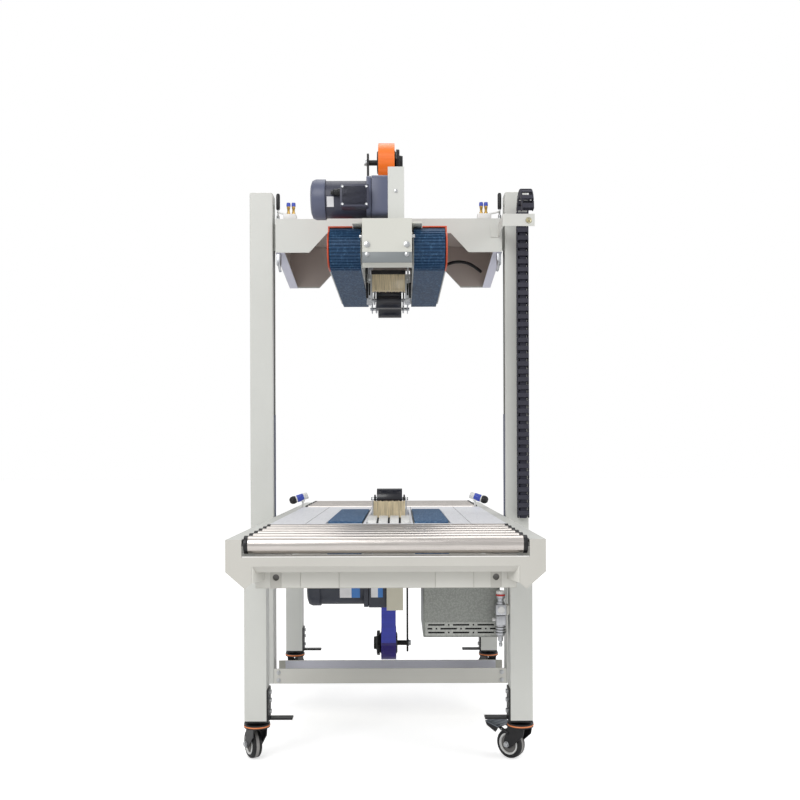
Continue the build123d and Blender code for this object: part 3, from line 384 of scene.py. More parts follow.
class Shop:
    """Modelling moves that the sub-assemblies share."""

    @staticmethod
    def clear() -> None:
        """Deselect everything and leave edit mode."""
        if bpy.context.object and bpy.context.object.mode != "OBJECT":
            bpy.ops.object.mode_set(mode="OBJECT")
        bpy.ops.object.select_all(action="DESELECT")

    @staticmethod
    def settle(piece: bpy.types.Object) -> bpy.types.Object:
        """Apply a piece's place, turn and scale to its mesh."""
        Shop.clear()
        piece.select_set(True)
        bpy.context.view_layer.objects.active = piece
        bpy.ops.object.transform_apply(location=True, rotation=True, scale=True)
        return piece

    @staticmethod
    def edit(piece: bpy.types.Object) -> None:
        """Open a piece in edit mode with all of it selected."""
        Shop.clear()
        piece.select_set(True)
        bpy.context.view_layer.objects.active = piece
        bpy.ops.object.mode_set(mode="EDIT")
        bpy.ops.mesh.select_all(action="SELECT")

    @staticmethod
    def leave() -> None:
        """Return to object mode."""
        bpy.ops.object.mode_set(mode="OBJECT")

    @staticmethod
    def soften(piece: bpy.types.Object, offset: float, segments: int = 2) -> bpy.types.Object:
        """Bevel the sharp edges of a piece and smooth it by angle.

        Args:
            piece: piece to bevel.
            offset: bevel width.
            segments: bevel steps.

        Returns:
            The same piece.
        """
        Shop.clear()
        piece.select_set(True)
        bpy.context.view_layer.objects.active = piece
        bevel = piece.modifiers.new("edge_radius", "BEVEL")
        bevel.width = offset
        bevel.segments = segments
        bevel.limit_method = "ANGLE"
        bevel.angle_limit = radians(40)
        bevel.use_clamp_overlap = True
        bpy.ops.object.modifier_apply(modifier=bevel.name)
        bpy.ops.object.shade_smooth_by_angle(angle=radians(35))
        return piece

    @staticmethod
    def block(low: Point, high: Point, radius: float = 0.001, segments: int = 2) -> bpy.types.Object:
        """Box between two corners with rounded edges.

        Args:
            low: lowest corner.
            high: highest corner.
            radius: edge radius.
            segments: steps in the radius.

        Returns:
            The new piece.
        """
        Shop.clear()
        middle = tuple((a + b) / 2 for a, b in zip(low, high))
        bpy.ops.mesh.primitive_cube_add(size=1, location=middle)
        piece = bpy.context.object
        piece.scale = tuple(b - a for a, b in zip(low, high))
        Shop.settle(piece)
        return Shop.soften(piece, radius, segments)

    @staticmethod
    def drum(
        centre: Point, radius: float, length: float, axis: Vector | Axis, rim: float = 0.001,
        steps: tuple[Flat, ...] = (), sides: int = 48,
    ) -> bpy.types.Object:
        """Turned piece: a cylinder with rounded rims and stepped end faces.

        Args:
            centre: middle of the piece.
            radius: outer radius.
            length: length along the axis.
            axis: direction of the axis.
            rim: rounding of its edges.
            steps: (inset, push) of each step worked into both ends, outwards positive.
            sides: facets round the piece.

        Returns:
            The new piece.
        """
        Shop.clear()
        bpy.ops.mesh.primitive_cylinder_add(vertices=sides, radius=radius, depth=length)
        piece = bpy.context.object
        if steps:
            bpy.ops.object.mode_set(mode="EDIT")
            bpy.ops.mesh.select_mode(type="FACE")
            bpy.ops.mesh.select_all(action="DESELECT")
            bpy.ops.object.mode_set(mode="OBJECT")
            for face in piece.data.polygons:
                face.select = abs(face.normal.z) > 0.9
            bpy.ops.object.mode_set(mode="EDIT")
            for inset, push in steps:
                bpy.ops.mesh.inset(thickness=inset, depth=0, use_individual=True)
                if push:
                    bpy.ops.mesh.extrude_faces_move(TRANSFORM_OT_shrink_fatten={"value": push})
            bpy.ops.mesh.select_mode(type="VERT")
            bpy.ops.object.mode_set(mode="OBJECT")
        direction = axis if isinstance(axis, Vector) else Vector(axis.value)
        piece.rotation_mode = "QUATERNION"
        piece.rotation_quaternion = direction.to_track_quat("Z", "Y")
        piece.location = centre
        Shop.settle(piece)
        return Shop.soften(piece, rim, 2)

    @staticmethod
    def trace(points: list[Vector]) -> bpy.types.Object:
        """Draw a chain of edges by extruding one vertex from point to point.

        Args:
            points: places the chain runs through.

        Returns:
            The new piece, left in edit mode with all of it selected.
        """
        Shop.clear()
        bpy.ops.mesh.primitive_plane_add(size=0.01)
        piece = bpy.context.object
        bpy.ops.object.mode_set(mode="EDIT")
        bpy.ops.mesh.select_all(action="SELECT")
        bpy.ops.mesh.merge(type="CENTER")
        bpy.ops.transform.translate(value=points[0])
        for start, end in zip(points, points[1:]):
            bpy.ops.mesh.extrude_vertices_move(TRANSFORM_OT_translate={"value": end - start})
        bpy.ops.mesh.select_all(action="SELECT")
        return piece

    @staticmethod
    def plate(
        outline: list[Flat], axis: Axis, start: float, thickness: float, radius: float = 0.0004
    ) -> bpy.types.Object:
        """Flat plate cut to an outline.

        Args:
            outline: corners in the plane across the axis, in world coordinates.
            axis: direction of the thickness.
            start: where the plate begins along the axis.
            thickness: how far it runs along the axis.
            radius: rounding of its edges.

        Returns:
            The new piece.
        """
        piece = Shop.trace([axis.lift(a, b, start) for a, b in outline])
        bpy.ops.mesh.edge_face_add()
        bpy.ops.mesh.select_all(action="SELECT")
        bpy.ops.mesh.extrude_region_move(
            TRANSFORM_OT_translate={"value": Vector(axis.value) * thickness}
        )
        bpy.ops.mesh.select_all(action="SELECT")
        bpy.ops.mesh.normals_make_consistent(inside=False)
        Shop.leave()
        return Shop.soften(piece, radius, 2) if radius else piece

    @staticmethod
    def lathe(profile: list[Flat], centre: Point, axis: Vector | Axis, sides: int = 48) -> bpy.types.Object:
        """Turned piece from a profile of (radius, distance along the axis) points.

        Args:
            profile: points of the half section; it ends on the axis or closes on itself.
            centre: point on the axis where the distance is zero.
            axis: direction of the axis.
            sides: facets round the piece.

        Returns:
            The new piece.
        """
        piece = Shop.trace([Vector((r, 0, h)) for r, h in profile])
        bpy.ops.mesh.spin(steps=sides, angle=2 * pi, center=(0, 0, 0), axis=(0, 0, 1))
        bpy.ops.mesh.select_all(action="SELECT")
        bpy.ops.mesh.remove_doubles(threshold=0.00001)
        bpy.ops.mesh.normals_make_consistent(inside=False)
        Shop.leave()
        direction = axis if isinstance(axis, Vector) else Vector(axis.value)
        piece.rotation_mode = "QUATERNION"
        piece.rotation_quaternion = direction.to_track_quat("Z", "Y")
        piece.location = centre
        Shop.settle(piece)
        bpy.ops.object.shade_smooth_by_angle(angle=radians(32))
        return piece

    @staticmethod
    def hose(route: list[Point], radius: float) -> bpy.types.Object:
        """Round bar or tube that follows a smooth route, made a mesh."""
        Shop.clear()
        bpy.ops.curve.primitive_nurbs_path_add()
        piece = bpy.context.object
        spline = piece.data.splines[0]
        piece.data.splines.remove(spline)
        spline = piece.data.splines.new("NURBS")
        spline.points.add(len(route) - 1)
        for point, place in zip(spline.points, route):
            point.co = (*place, 1)
        spline.order_u = 3
        spline.use_endpoint_u = True
        piece.data.bevel_depth = radius
        piece.data.bevel_resolution = 4
        piece.data.use_fill_caps = True
        Shop.clear()
        piece.select_set(True)
        bpy.context.view_layer.objects.active = piece
        bpy.ops.object.convert(target="MESH")
        piece = bpy.context.object
        Shop.edit(piece)
        bpy.ops.mesh.remove_doubles(threshold=0.00001)
        bpy.ops.mesh.normals_make_consistent(inside=False)
        Shop.leave()
        bpy.ops.object.shade_smooth_by_angle(angle=radians(50))
        return Shop.settle(piece)

    @staticmethod
    def bolt(centre: Point, axis: Vector | Axis, size: float) -> bpy.types.Object:
        """Hex head on a washer, its flat washer face at the centre point."""
        direction = axis if isinstance(axis, Vector) else Vector(axis.value)
        washer = Shop.drum(Vector(centre) + direction * size * 0.1, size * 1.15, size * 0.2, direction, 0.0002, sides=24)
        head = Shop.drum(Vector(centre) + direction * size * 0.55, size, size * 0.75, direction, 0.0006, sides=6)
        return Shop.join([washer, head])

    @staticmethod
    def join(pieces: list[bpy.types.Object]) -> bpy.types.Object:
        """Make several pieces one object."""
        Shop.clear()
        for piece in pieces:
            piece.select_set(True)
        bpy.context.view_layer.objects.active = pieces[0]
        if len(pieces) > 1:
            bpy.ops.object.join()
        return bpy.context.object

    @staticmethod
    def copies(piece: bpy.types.Object, shifts: list[Vector]) -> list[bpy.types.Object]:
        """Copy a piece, mesh and all, to each shift; the piece itself stays as it is."""
        made = []
        for shift in shifts:
            Shop.clear()
            piece.select_set(True)
            bpy.context.view_layer.objects.active = piece
            bpy.ops.object.duplicate(linked=False)
            copy = bpy.context.object
            copy.location = shift
            made.append(Shop.settle(copy))
        return made


class Bench:
    """Hands finished pieces over to the frame: name, body, material and log line."""

    def __init__(self, frame: dict) -> None:
        """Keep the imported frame."""
        self.nodes = frame["nodes"]
        self.slots = {part["node"]: part["material_slot"] for part in frame["record"]["subparts"]}
        self.bodies = {n: b for b, ns in frame["record"]["behaviour"]["bodies"].items() for n in ns}

    def paint(self, node: str, finish: Finish) -> None:
        """Give a CAD node its finish."""
        target = self.nodes[node]
        target.data.materials.clear()
        target.data.materials.append(finish.material())

    def mount(
        self, pieces: list[bpy.types.Object], name: str, node: str, finish: Finish, replaces: bool = False
    ) -> bpy.types.Object:
        """Join pieces, name them and fix them to the body of a CAD node.

        Args:
            pieces: pieces of one finish.
            name: name of the joined piece.
            node: CAD node that carries it.
            finish: its surface.
            replaces: whether the node is hidden behind it.

        Returns:
            The joined piece.
        """
        piece = Shop.join(pieces)
        piece.name = name
        piece.data.name = name
        piece.data.materials.clear()
        piece.data.materials.append(finish.material())
        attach(piece, self.bodies[node])
        if replaces:
            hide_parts(node)
        LOG.info("%s on %s", name, node)
        return piece


# Sub-assemblies


@dataclass
class Table:
    """Folded rails, end panels, stainless plate, cross-member straps and end posts."""

    bench: Bench
    strap_centres: tuple[float, ...] = (-0.143, 0.148)
    strap_width: float = 0.082
    post_places: tuple[float, ...] = (-0.306, 0.29)
    post_y: float = 0.43
    sensor_radius: float = 0.0125
    sensor_length: float = 0.047

    def paint(self) -> None:
        """Dress the CAD nodes of the table."""
        for node in ("left_rail", "right_rail"):
            self.bench.paint(node, LIGHT_PAINT)
        for node in ("front_panel", "rear_panel"):
            self.bench.paint(node, PANEL_PAINT)
        self.bench.paint("table_plate", STAINLESS)
        self.bench.paint("roller_axles", ZINC)

    def straps(self) -> None:
        """Lay two stiffener straps on each cross-member."""
        for end, node in ((-1, "front_panel"), (1, "rear_panel")):
            low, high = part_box(node)
            pieces = []
            for x in self.strap_centres:
                face = end * 0.768
                near, far = sorted((face, face + end * 0.002))
                pieces.append(Shop.block(
                    (x - self.strap_width / 2, near, 0.4935), (x + self.strap_width / 2, far, 0.561), 0.0006,
                ))
            self.bench.mount(pieces, node.replace("panel", "tie_straps"), node, STRAP_PAINT)
            near, far = sorted((end * 0.8247, end * 0.8215))
            # The near-white strip on the panel's top edge is a painted highlight.
            hem = Shop.block((-0.3025, near, 0.5646), (0.3025, far, 0.5668), 0.0006, 1)
            self.bench.mount([hem], node.replace("panel", "panel_hem"), node, PAINTED_EDGE_HIGHLIGHT)
            # Skins in the lighter strap coat over the cross-member and its corner closures: painted light on faces in
            # shade.
            near, far = sorted((end * 0.768, end * 0.7688))
            skins = [
                Shop.block((left, near, 0.4935), (right, far, 0.561), 0.0003, 1)
                for left, right in ((-0.281, -0.250), (-0.226, -0.185), (-0.101, 0.106), (0.190, 0.226), (0.250, 0.281))
            ]
            for side in (-1, 1):
                outline = [
                    (side * 0.2818, end * 0.8245), (side * 0.264, end * 0.7692), (side * 0.262, end * 0.7692), (side * 0.2798, end * 0.8245),
                ]
                skins.append(Shop.plate(outline, Axis.Z, 0.5105, 0.035, 0.0003))
            self.bench.mount(skins, node.replace("panel", "tie_skins"), node, STRAP_PAINT)
            plugs = [
                Shop.drum((x, end * 0.7625, 0.5155), 0.0095, 0.003, Axis.Y, 0.0006, ((0.003, -0.0008),), 32)
                for x in (-0.238, 0.238)
            ]
            self.bench.mount(plugs, node.replace("panel", "tie_nuts"), node, GREY_RUBBER)

    def seams(self) -> None:
        """Fold lips along the stainless plate between its three sheets."""
        low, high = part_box("table_plate")
        pieces = []
        for x in (-0.212, -0.066, 0.066, 0.212):
            pieces.append(Shop.block(
                (x - 0.0006, low.y + 0.002, high.z - 0.0015), (x + 0.0006, high.y - 0.002, high.z + 0.0004), 0.0002, 1,
            ))
        self.bench.mount(pieces, "table_sheet_seams", "table_plate", BLACK_PAINT)

    def posts(self) -> None:
        """Stand a sensor barrel on a post at the outfeed end of each rail."""
        for hand, side, x in (("left", -1, self.post_places[0]), ("right", 1, self.post_places[1])):
            node = f"{hand}_rail"
            low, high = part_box(node)
            top = high.z
            stem = Shop.drum((x, self.post_y, top + 0.013), 0.0035, 0.03, Axis.Z, 0.0004, sides=20)
            foot = Shop.drum((x, self.post_y, top + 0.0015), 0.009, 0.003, Axis.Z, 0.0004, ((0.003, 0.0008),), 28)
            clamp = Shop.block(
                (x - 0.007, self.post_y - 0.008, top + 0.022), (x + 0.007, self.post_y + 0.008, top + 0.034), 0.0015,
            )
            self.bench.mount([stem, foot, clamp], f"{hand}_sensor_post", node, WHITE_PLASTIC)
            lean = Vector((side * 0.9, -0.26, -0.3)).normalized()
            middle = Vector((x, self.post_y, top + 0.038)) + lean * 0.006
            span = self.sensor_length
            barrel = Shop.drum(middle, self.sensor_radius * 0.93, span, lean, 0.001, ((0.002, -0.001),), 36)
            self.bench.mount([barrel], f"{hand}_sensor_barrel", node, WHITE_PLASTIC)
            band = Shop.drum(middle + lean * 0.004, self.sensor_radius, span * 0.5, lean, 0.0006, sides=36)
            self.bench.mount([band], f"{hand}_sensor_band", node, BLUE_PLASTIC)
            cap = Shop.lathe(
                [(0, 0.015), (0.007, 0.014), (0.012, 0.009), (0.014, 0.001), (0.0125, -0.007), (0.007, -0.011),
                 (0, -0.011)],
                tuple(middle + lean * (span / 2 + 0.004)), lean, 36,
            )
            self.bench.mount([cap], f"{hand}_sensor_cap", node, BLACK_PLASTIC)

    def build(self) -> None:
        """Build the whole table."""
        self.paint()
        self.straps()
        self.seams()
        self.posts()


@dataclass
class RollerBed:
    """Steel roller tubes with black end caps."""

    bench: Bench
    per_end: int = 6
    cap_length: float = 0.009
    cap_step: tuple[Flat, ...] = ((0.002, -0.001), (0.006, 0.0025))

    def build(self) -> None:
        """Dress each roller and press its caps on."""
        for place in ("front", "rear"):
            for number in range(1, self.per_end + 1):
                node = f"{place}_roller_{number}"
                self.bench.paint(node, ROLLER_STEEL)
                low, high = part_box(node)
                radius = (high.z - low.z) / 2 + 0.0004
                caps = [
                    Shop.drum(
                        (side * (high.x - self.cap_length / 2 + 0.0025), (low.y + high.y) / 2, (low.z + high.z) / 2),
                        radius, self.cap_length, Axis.X, 0.0012, self.cap_step, 40,
                    )
                    for side in (-1, 1)
                ]
                self.bench.mount(caps, f"{node}_caps", node, BLACK_PLASTIC)


@dataclass
class BeltRun:
    """One ribbed belt loop, standing for a belt node."""

    bench: Bench
    node: str
    finish: Finish
    rib_pitch: float = 0.0088
    rib_height: float = 0.0028

    def outline(self, low: Vector, high: Vector) -> list[Flat]:
        """Return points round the stadium, two in each groove and two on each crest."""
        radius = (high.z - low.z) / 2
        straight = high.y - low.y - 2 * radius
        length = 2 * straight + 2 * pi * radius
        ribs = round(length / self.rib_pitch)
        shares = ((0.0, False), (0.34, False), (0.44, True), (0.9, True))
        points = []
        for index in range(4 * ribs):
            share, crest = shares[index % 4]
            travel = length * (index // 4 + share) / ribs
            size = radius if crest else radius - self.rib_height
            if travel < straight:
                place = (low.y + radius + travel, low.z + radius - size)
            elif travel < straight + pi * radius:
                turn = (travel - straight) / radius
                place = (high.y - radius + size * sin(turn), low.z + radius - size * cos(turn))
            elif travel < 2 * straight + pi * radius:
                place = (high.y - radius - (travel - straight - pi * radius), low.z + radius + size)
            else:
                turn = (travel - 2 * straight - pi * radius) / radius
                place = (low.y + radius - size * sin(turn), low.z + radius + size * cos(turn))
            points.append(place)
        return points

    def build(self) -> None:
        """Make the belt and hide the plain one."""
        low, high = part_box(self.node)
        belt = Shop.plate(self.outline(low, high), Axis.X, low.x, high.x - low.x, 0)
        bpy.ops.object.shade_smooth_by_angle(angle=radians(12))
        self.bench.mount([belt], f"{self.node}_ribbed", self.node, self.finish, replaces=True)


@dataclass
class TapeHead:
    """Taping unit: cheeks, links, two black rollers and a fibre brush."""

    bench: Bench
    node: str
    up: int
    brush_y: float
    brush_base: float
    brush_tip: float
    brush_half: float
    rollers: tuple[tuple[float, float, float], ...]
    cheek: list[Flat]
    cheek_x: float
    roller_half: float = 0.037
    cheek_wall: float = 0.003
    slats: int = 26

    def cheeks(self) -> None:
        """Cut the two side plates, with screws on their outer faces and two cross bars between them."""
        plates, screws = [], []
        for side in (-1, 1):
            start = side * self.cheek_x - (self.cheek_wall if side > 0 else 0)
            plates.append(Shop.plate(self.cheek, Axis.X, start, self.cheek_wall, 0.0006))
            for y, z, radius in self.rollers:
                screws.append(Shop.bolt((side * self.cheek_x, y, z), Vector((side, 0, 0)), 0.005))
        for y, z in ((self.brush_y + 0.06, self.brush_base), (self.brush_y + 0.26, self.brush_base)):
            plates.append(Shop.drum((0, y, z), 0.007, 2 * self.cheek_x - 0.004, Axis.X, 0.0006, sides=28))
        self.bench.mount(plates, f"{self.node}_cheeks", self.node, SILVER, replaces=True)
        self.bench.mount(screws, f"{self.node}_screws", self.node, ZINC)

    def arms(self) -> None:
        """Hang swinging links between the cheeks and the rollers, on bright axles."""
        links, axles = [], []
        for side in (-1, 1):
            for y, z, radius in self.rollers:
                root = (y + 0.055, z - self.up * 0.03)
                x = side * (self.roller_half + 0.006)
                links.append(Shop.plate(
                    [(y - 0.009, z - 0.009), (y + 0.009, z - 0.012), (root[0] + 0.01, root[1] - 0.008),
                     (root[0] + 0.01, root[1] + 0.01), (y + 0.004, z + 0.012), (y - 0.009, z + 0.009)],
                    Axis.X, x - 0.0025, 0.005, 0.0006,
                ))
        for y, z, radius in self.rollers:
            axles.append(Shop.drum((0, y, z), 0.005, 2 * self.cheek_x - 0.004, Axis.X, 0.0004, sides=24))
        self.bench.mount(links, f"{self.node}_links", self.node, SILVER if self.up < 0 else BLACK_PAINT)
        self.bench.mount(axles, f"{self.node}_axles", self.node, ZINC)

    def wheels(self) -> None:
        """Turn the black wiping rollers."""
        for index, (y, z, radius) in enumerate(self.rollers):
            drum = Shop.drum((0, y, z), radius, 2 * self.roller_half, Axis.X, 0.002, ((0.004, -0.0015),), 56)
            self.bench.mount([drum], f"{self.node}_roller_{index + 1}", self.node, HEAD_RUBBER)

    def brush(self) -> None:
        """Set a comb of fibre tufts in a channel."""
        tufts = []
        step = 2 * self.brush_half / self.slats
        depth = 0.014
        for index in range(self.slats):
            x = -self.brush_half + step * index
            reach = self.brush_tip - self.up * 0.0022 * (index * 7 % 5) / 4
            low, high = sorted((self.brush_base, reach))
            spread = 0.03 * (x + step / 2)
            tuft = Shop.block((x + 0.0001, self.brush_y - depth, low), (x + step - 0.0001, self.brush_y + depth, high), 0.0007, 1)
            tuft.location = (spread, 0, 0)
            tufts.append(Shop.settle(tuft))
        self.bench.mount(tufts, f"{self.node}_brush", self.node, BRUSH_FIBRE)
        root = self.brush_base
        low, high = sorted((root - self.up * 0.008, root + self.up * 0.004))
        holder = Shop.block(
            (-self.brush_half - 0.003, self.brush_y - depth - 0.002, low),
            (self.brush_half + 0.003, self.brush_y + depth + 0.002, high), 0.001,
        )
        self.bench.mount([holder], f"{self.node}_brush_holder", self.node, BLACK_PAINT)

    def flanges(self) -> None:
        """Fold slotted flanges out of the front of the cheeks, with bolts and springs before them."""
        plates, bolts, slots, springs = [], [], [], []
        face, low, high = self.brush_y - 0.0165, 1.212, 1.296
        for side in (-1, 1):
            near, far = sorted((side * (self.cheek_x - 0.011), side * (self.cheek_x + 0.003)))
            plates.append(Shop.block((near, face, low), (far, face + 0.0025, high), 0.0008))
            middle = (near + far) / 2
            for z in (low + 0.012, high - 0.014):
                bolts.append(Shop.bolt((middle, face, z), Vector((0, -1, 0)), 0.0038))
            slots.append(Shop.block(
                (middle - 0.0022, face - 0.0005, low + 0.024), (middle + 0.0022, face + 0.0012, high - 0.026), 0.0012,
            ))
            for z in (low + 0.002, low + 0.007):
                plates.append(Shop.drum((middle, face + 0.004, z), 0.0042, 0.016, Axis.X, 0.0006, sides=20))
            coil = [
                Shop.lathe(
                    [(0.0026, -0.0006), (0.0038, -0.0006), (0.0038, 0.0006), (0.0026, 0.0006), (0.0026, -0.0006)],
                    (near if side < 0 else far, face - 0.001, low + 0.018 + 0.0026 * turn), Axis.Z, 16,
                )
                for turn in range(16)
            ]
            springs.extend(coil)
            springs.append(Shop.drum((near if side < 0 else far, face - 0.001, low + 0.0375), 0.0028, 0.044, Axis.Z, 0.0004, sides=16))
        self.bench.mount(plates, f"{self.node}_front_flanges", self.node, SILVER)
        self.bench.mount(bolts, f"{self.node}_flange_bolts", self.node, ZINC)
        # The black slot blocks are painted shade in the flange slots.
        self.bench.mount(slots, f"{self.node}_flange_slots", self.node, SLOT_PAINTED_SHADE)
        self.bench.mount(springs, f"{self.node}_springs", self.node, BLACK_PLASTIC)

    def build(self) -> None:
        """Build the unit."""
        if self.up < 0:
            self.flanges()
        self.cheeks()
        self.arms()
        self.wheels()
        self.brush()


@dataclass
class GuideFingers:
    """White wedge fingers that lead the carton over the lower tape head."""

    bench: Bench
    count: int = 4
    half: float = 0.06
    front: float = -0.30
    back: float = -0.18

    def build(self) -> None:
        """Make the row of fingers."""
        step = 2 * self.half / self.count
        fingers = []
        for index in range(self.count):
            x = -self.half + step * index
            fingers.append(Shop.plate(
                [(self.front, 0.5955), (self.front + 0.01, 0.6065), (self.back, 0.6125), (self.back, 0.5955)],
                Axis.X, x + 0.003, step - 0.006, 0.001,
            ))
        self.bench.mount(fingers, "guide_fingers", "lower_tape_head", WHITE_PLASTIC)


@dataclass
class Columns:
    """Box posts with caps and the bolted foot beam."""

    bench: Bench
    bolt_x: float = 0.3295
    bolt_heights: tuple[float, ...] = (0.141, 0.118)
    bolt_size: float = 0.0055

    def build(self) -> None:
        """Dress the posts and fit caps and bolts."""
        for node in ("left_column", "right_column"):
            self.bench.paint(node, LIGHT_PAINT)
            low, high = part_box(node)
            side = -1 if low.x < 0 else 1
            inner, outer = sorted((side * 0.345, side * 0.409))
            cap = Shop.block(
                (inner, low.y + (0.007 if side > 0 else 0.002), high.z - 0.0005), (outer, high.y - 0.002, high.z + 0.0025), 0.001,
            )
            self.bench.mount([cap], f"{node}_cap", node, BOX_PAINT)
        self.bench.paint("foot_crossbar", BEAM_PAINT)
        self.bench.paint("lift_tubes", MOTOR_PAINT)
        self.bench.paint("lift_rods", BLACK_PAINT)
        low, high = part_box("foot_crossbar")
        bolts = [
            Shop.bolt((side * self.bolt_x, low.y, z), Vector((0, -1, 0)), self.bolt_size)
            for side in (-1, 1)
            for z in self.bolt_heights
        ]
        self.bench.mount(bolts, "foot_crossbar_bolts", "foot_crossbar", ZINC)
        # The pale bluish sheet inside the foot beam is a painted sheen.
        sheet = Shop.block((low.x + 0.02, high.y - 0.0048, low.z + 0.006), (high.x - 0.02, high.y - 0.0038, high.z - 0.001), 0.0003, 1)
        self.bench.mount([sheet], "foot_crossbar_inner_sheet", "foot_crossbar", PAINTED_INNER_SHEEN)


@dataclass
class Legs:
    """Square legs with angle brackets bolted to their inner faces."""

    bench: Bench
    bolt_heights: tuple[float, ...] = (0.176, 0.155, 0.127)
    bolt_size: float = 0.006

    def build(self) -> None:
        """Dress the legs and bolt the brackets on."""
        bolts = []
        for row in ("front", "rear"):
            for hand, side in (("left", -1), ("right", 1)):
                node = f"{row}_{hand}_leg"
                self.bench.paint(node, LIGHT_PAINT)
                low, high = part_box(node)
                face = side * 0.305
                for z in self.bolt_heights:
                    bolts.append(Shop.bolt((face, (low.y + high.y) / 2, z), Vector((-side, 0, 0)), self.bolt_size))
                sleeve = Shop.block(
                    (low.x + 0.006, low.y + 0.006, low.z - 0.004), (high.x - 0.006, high.y - 0.006, low.z + 0.002), 0.001,
                )
                self.bench.mount([sleeve], f"{node}_foot_plate", node, WHITE_PLASTIC)
        self.bench.paint("foot_brackets", BLACK_PAINT)
        self.bench.mount(bolts, "foot_bracket_bolts", "foot_brackets", ZINC)


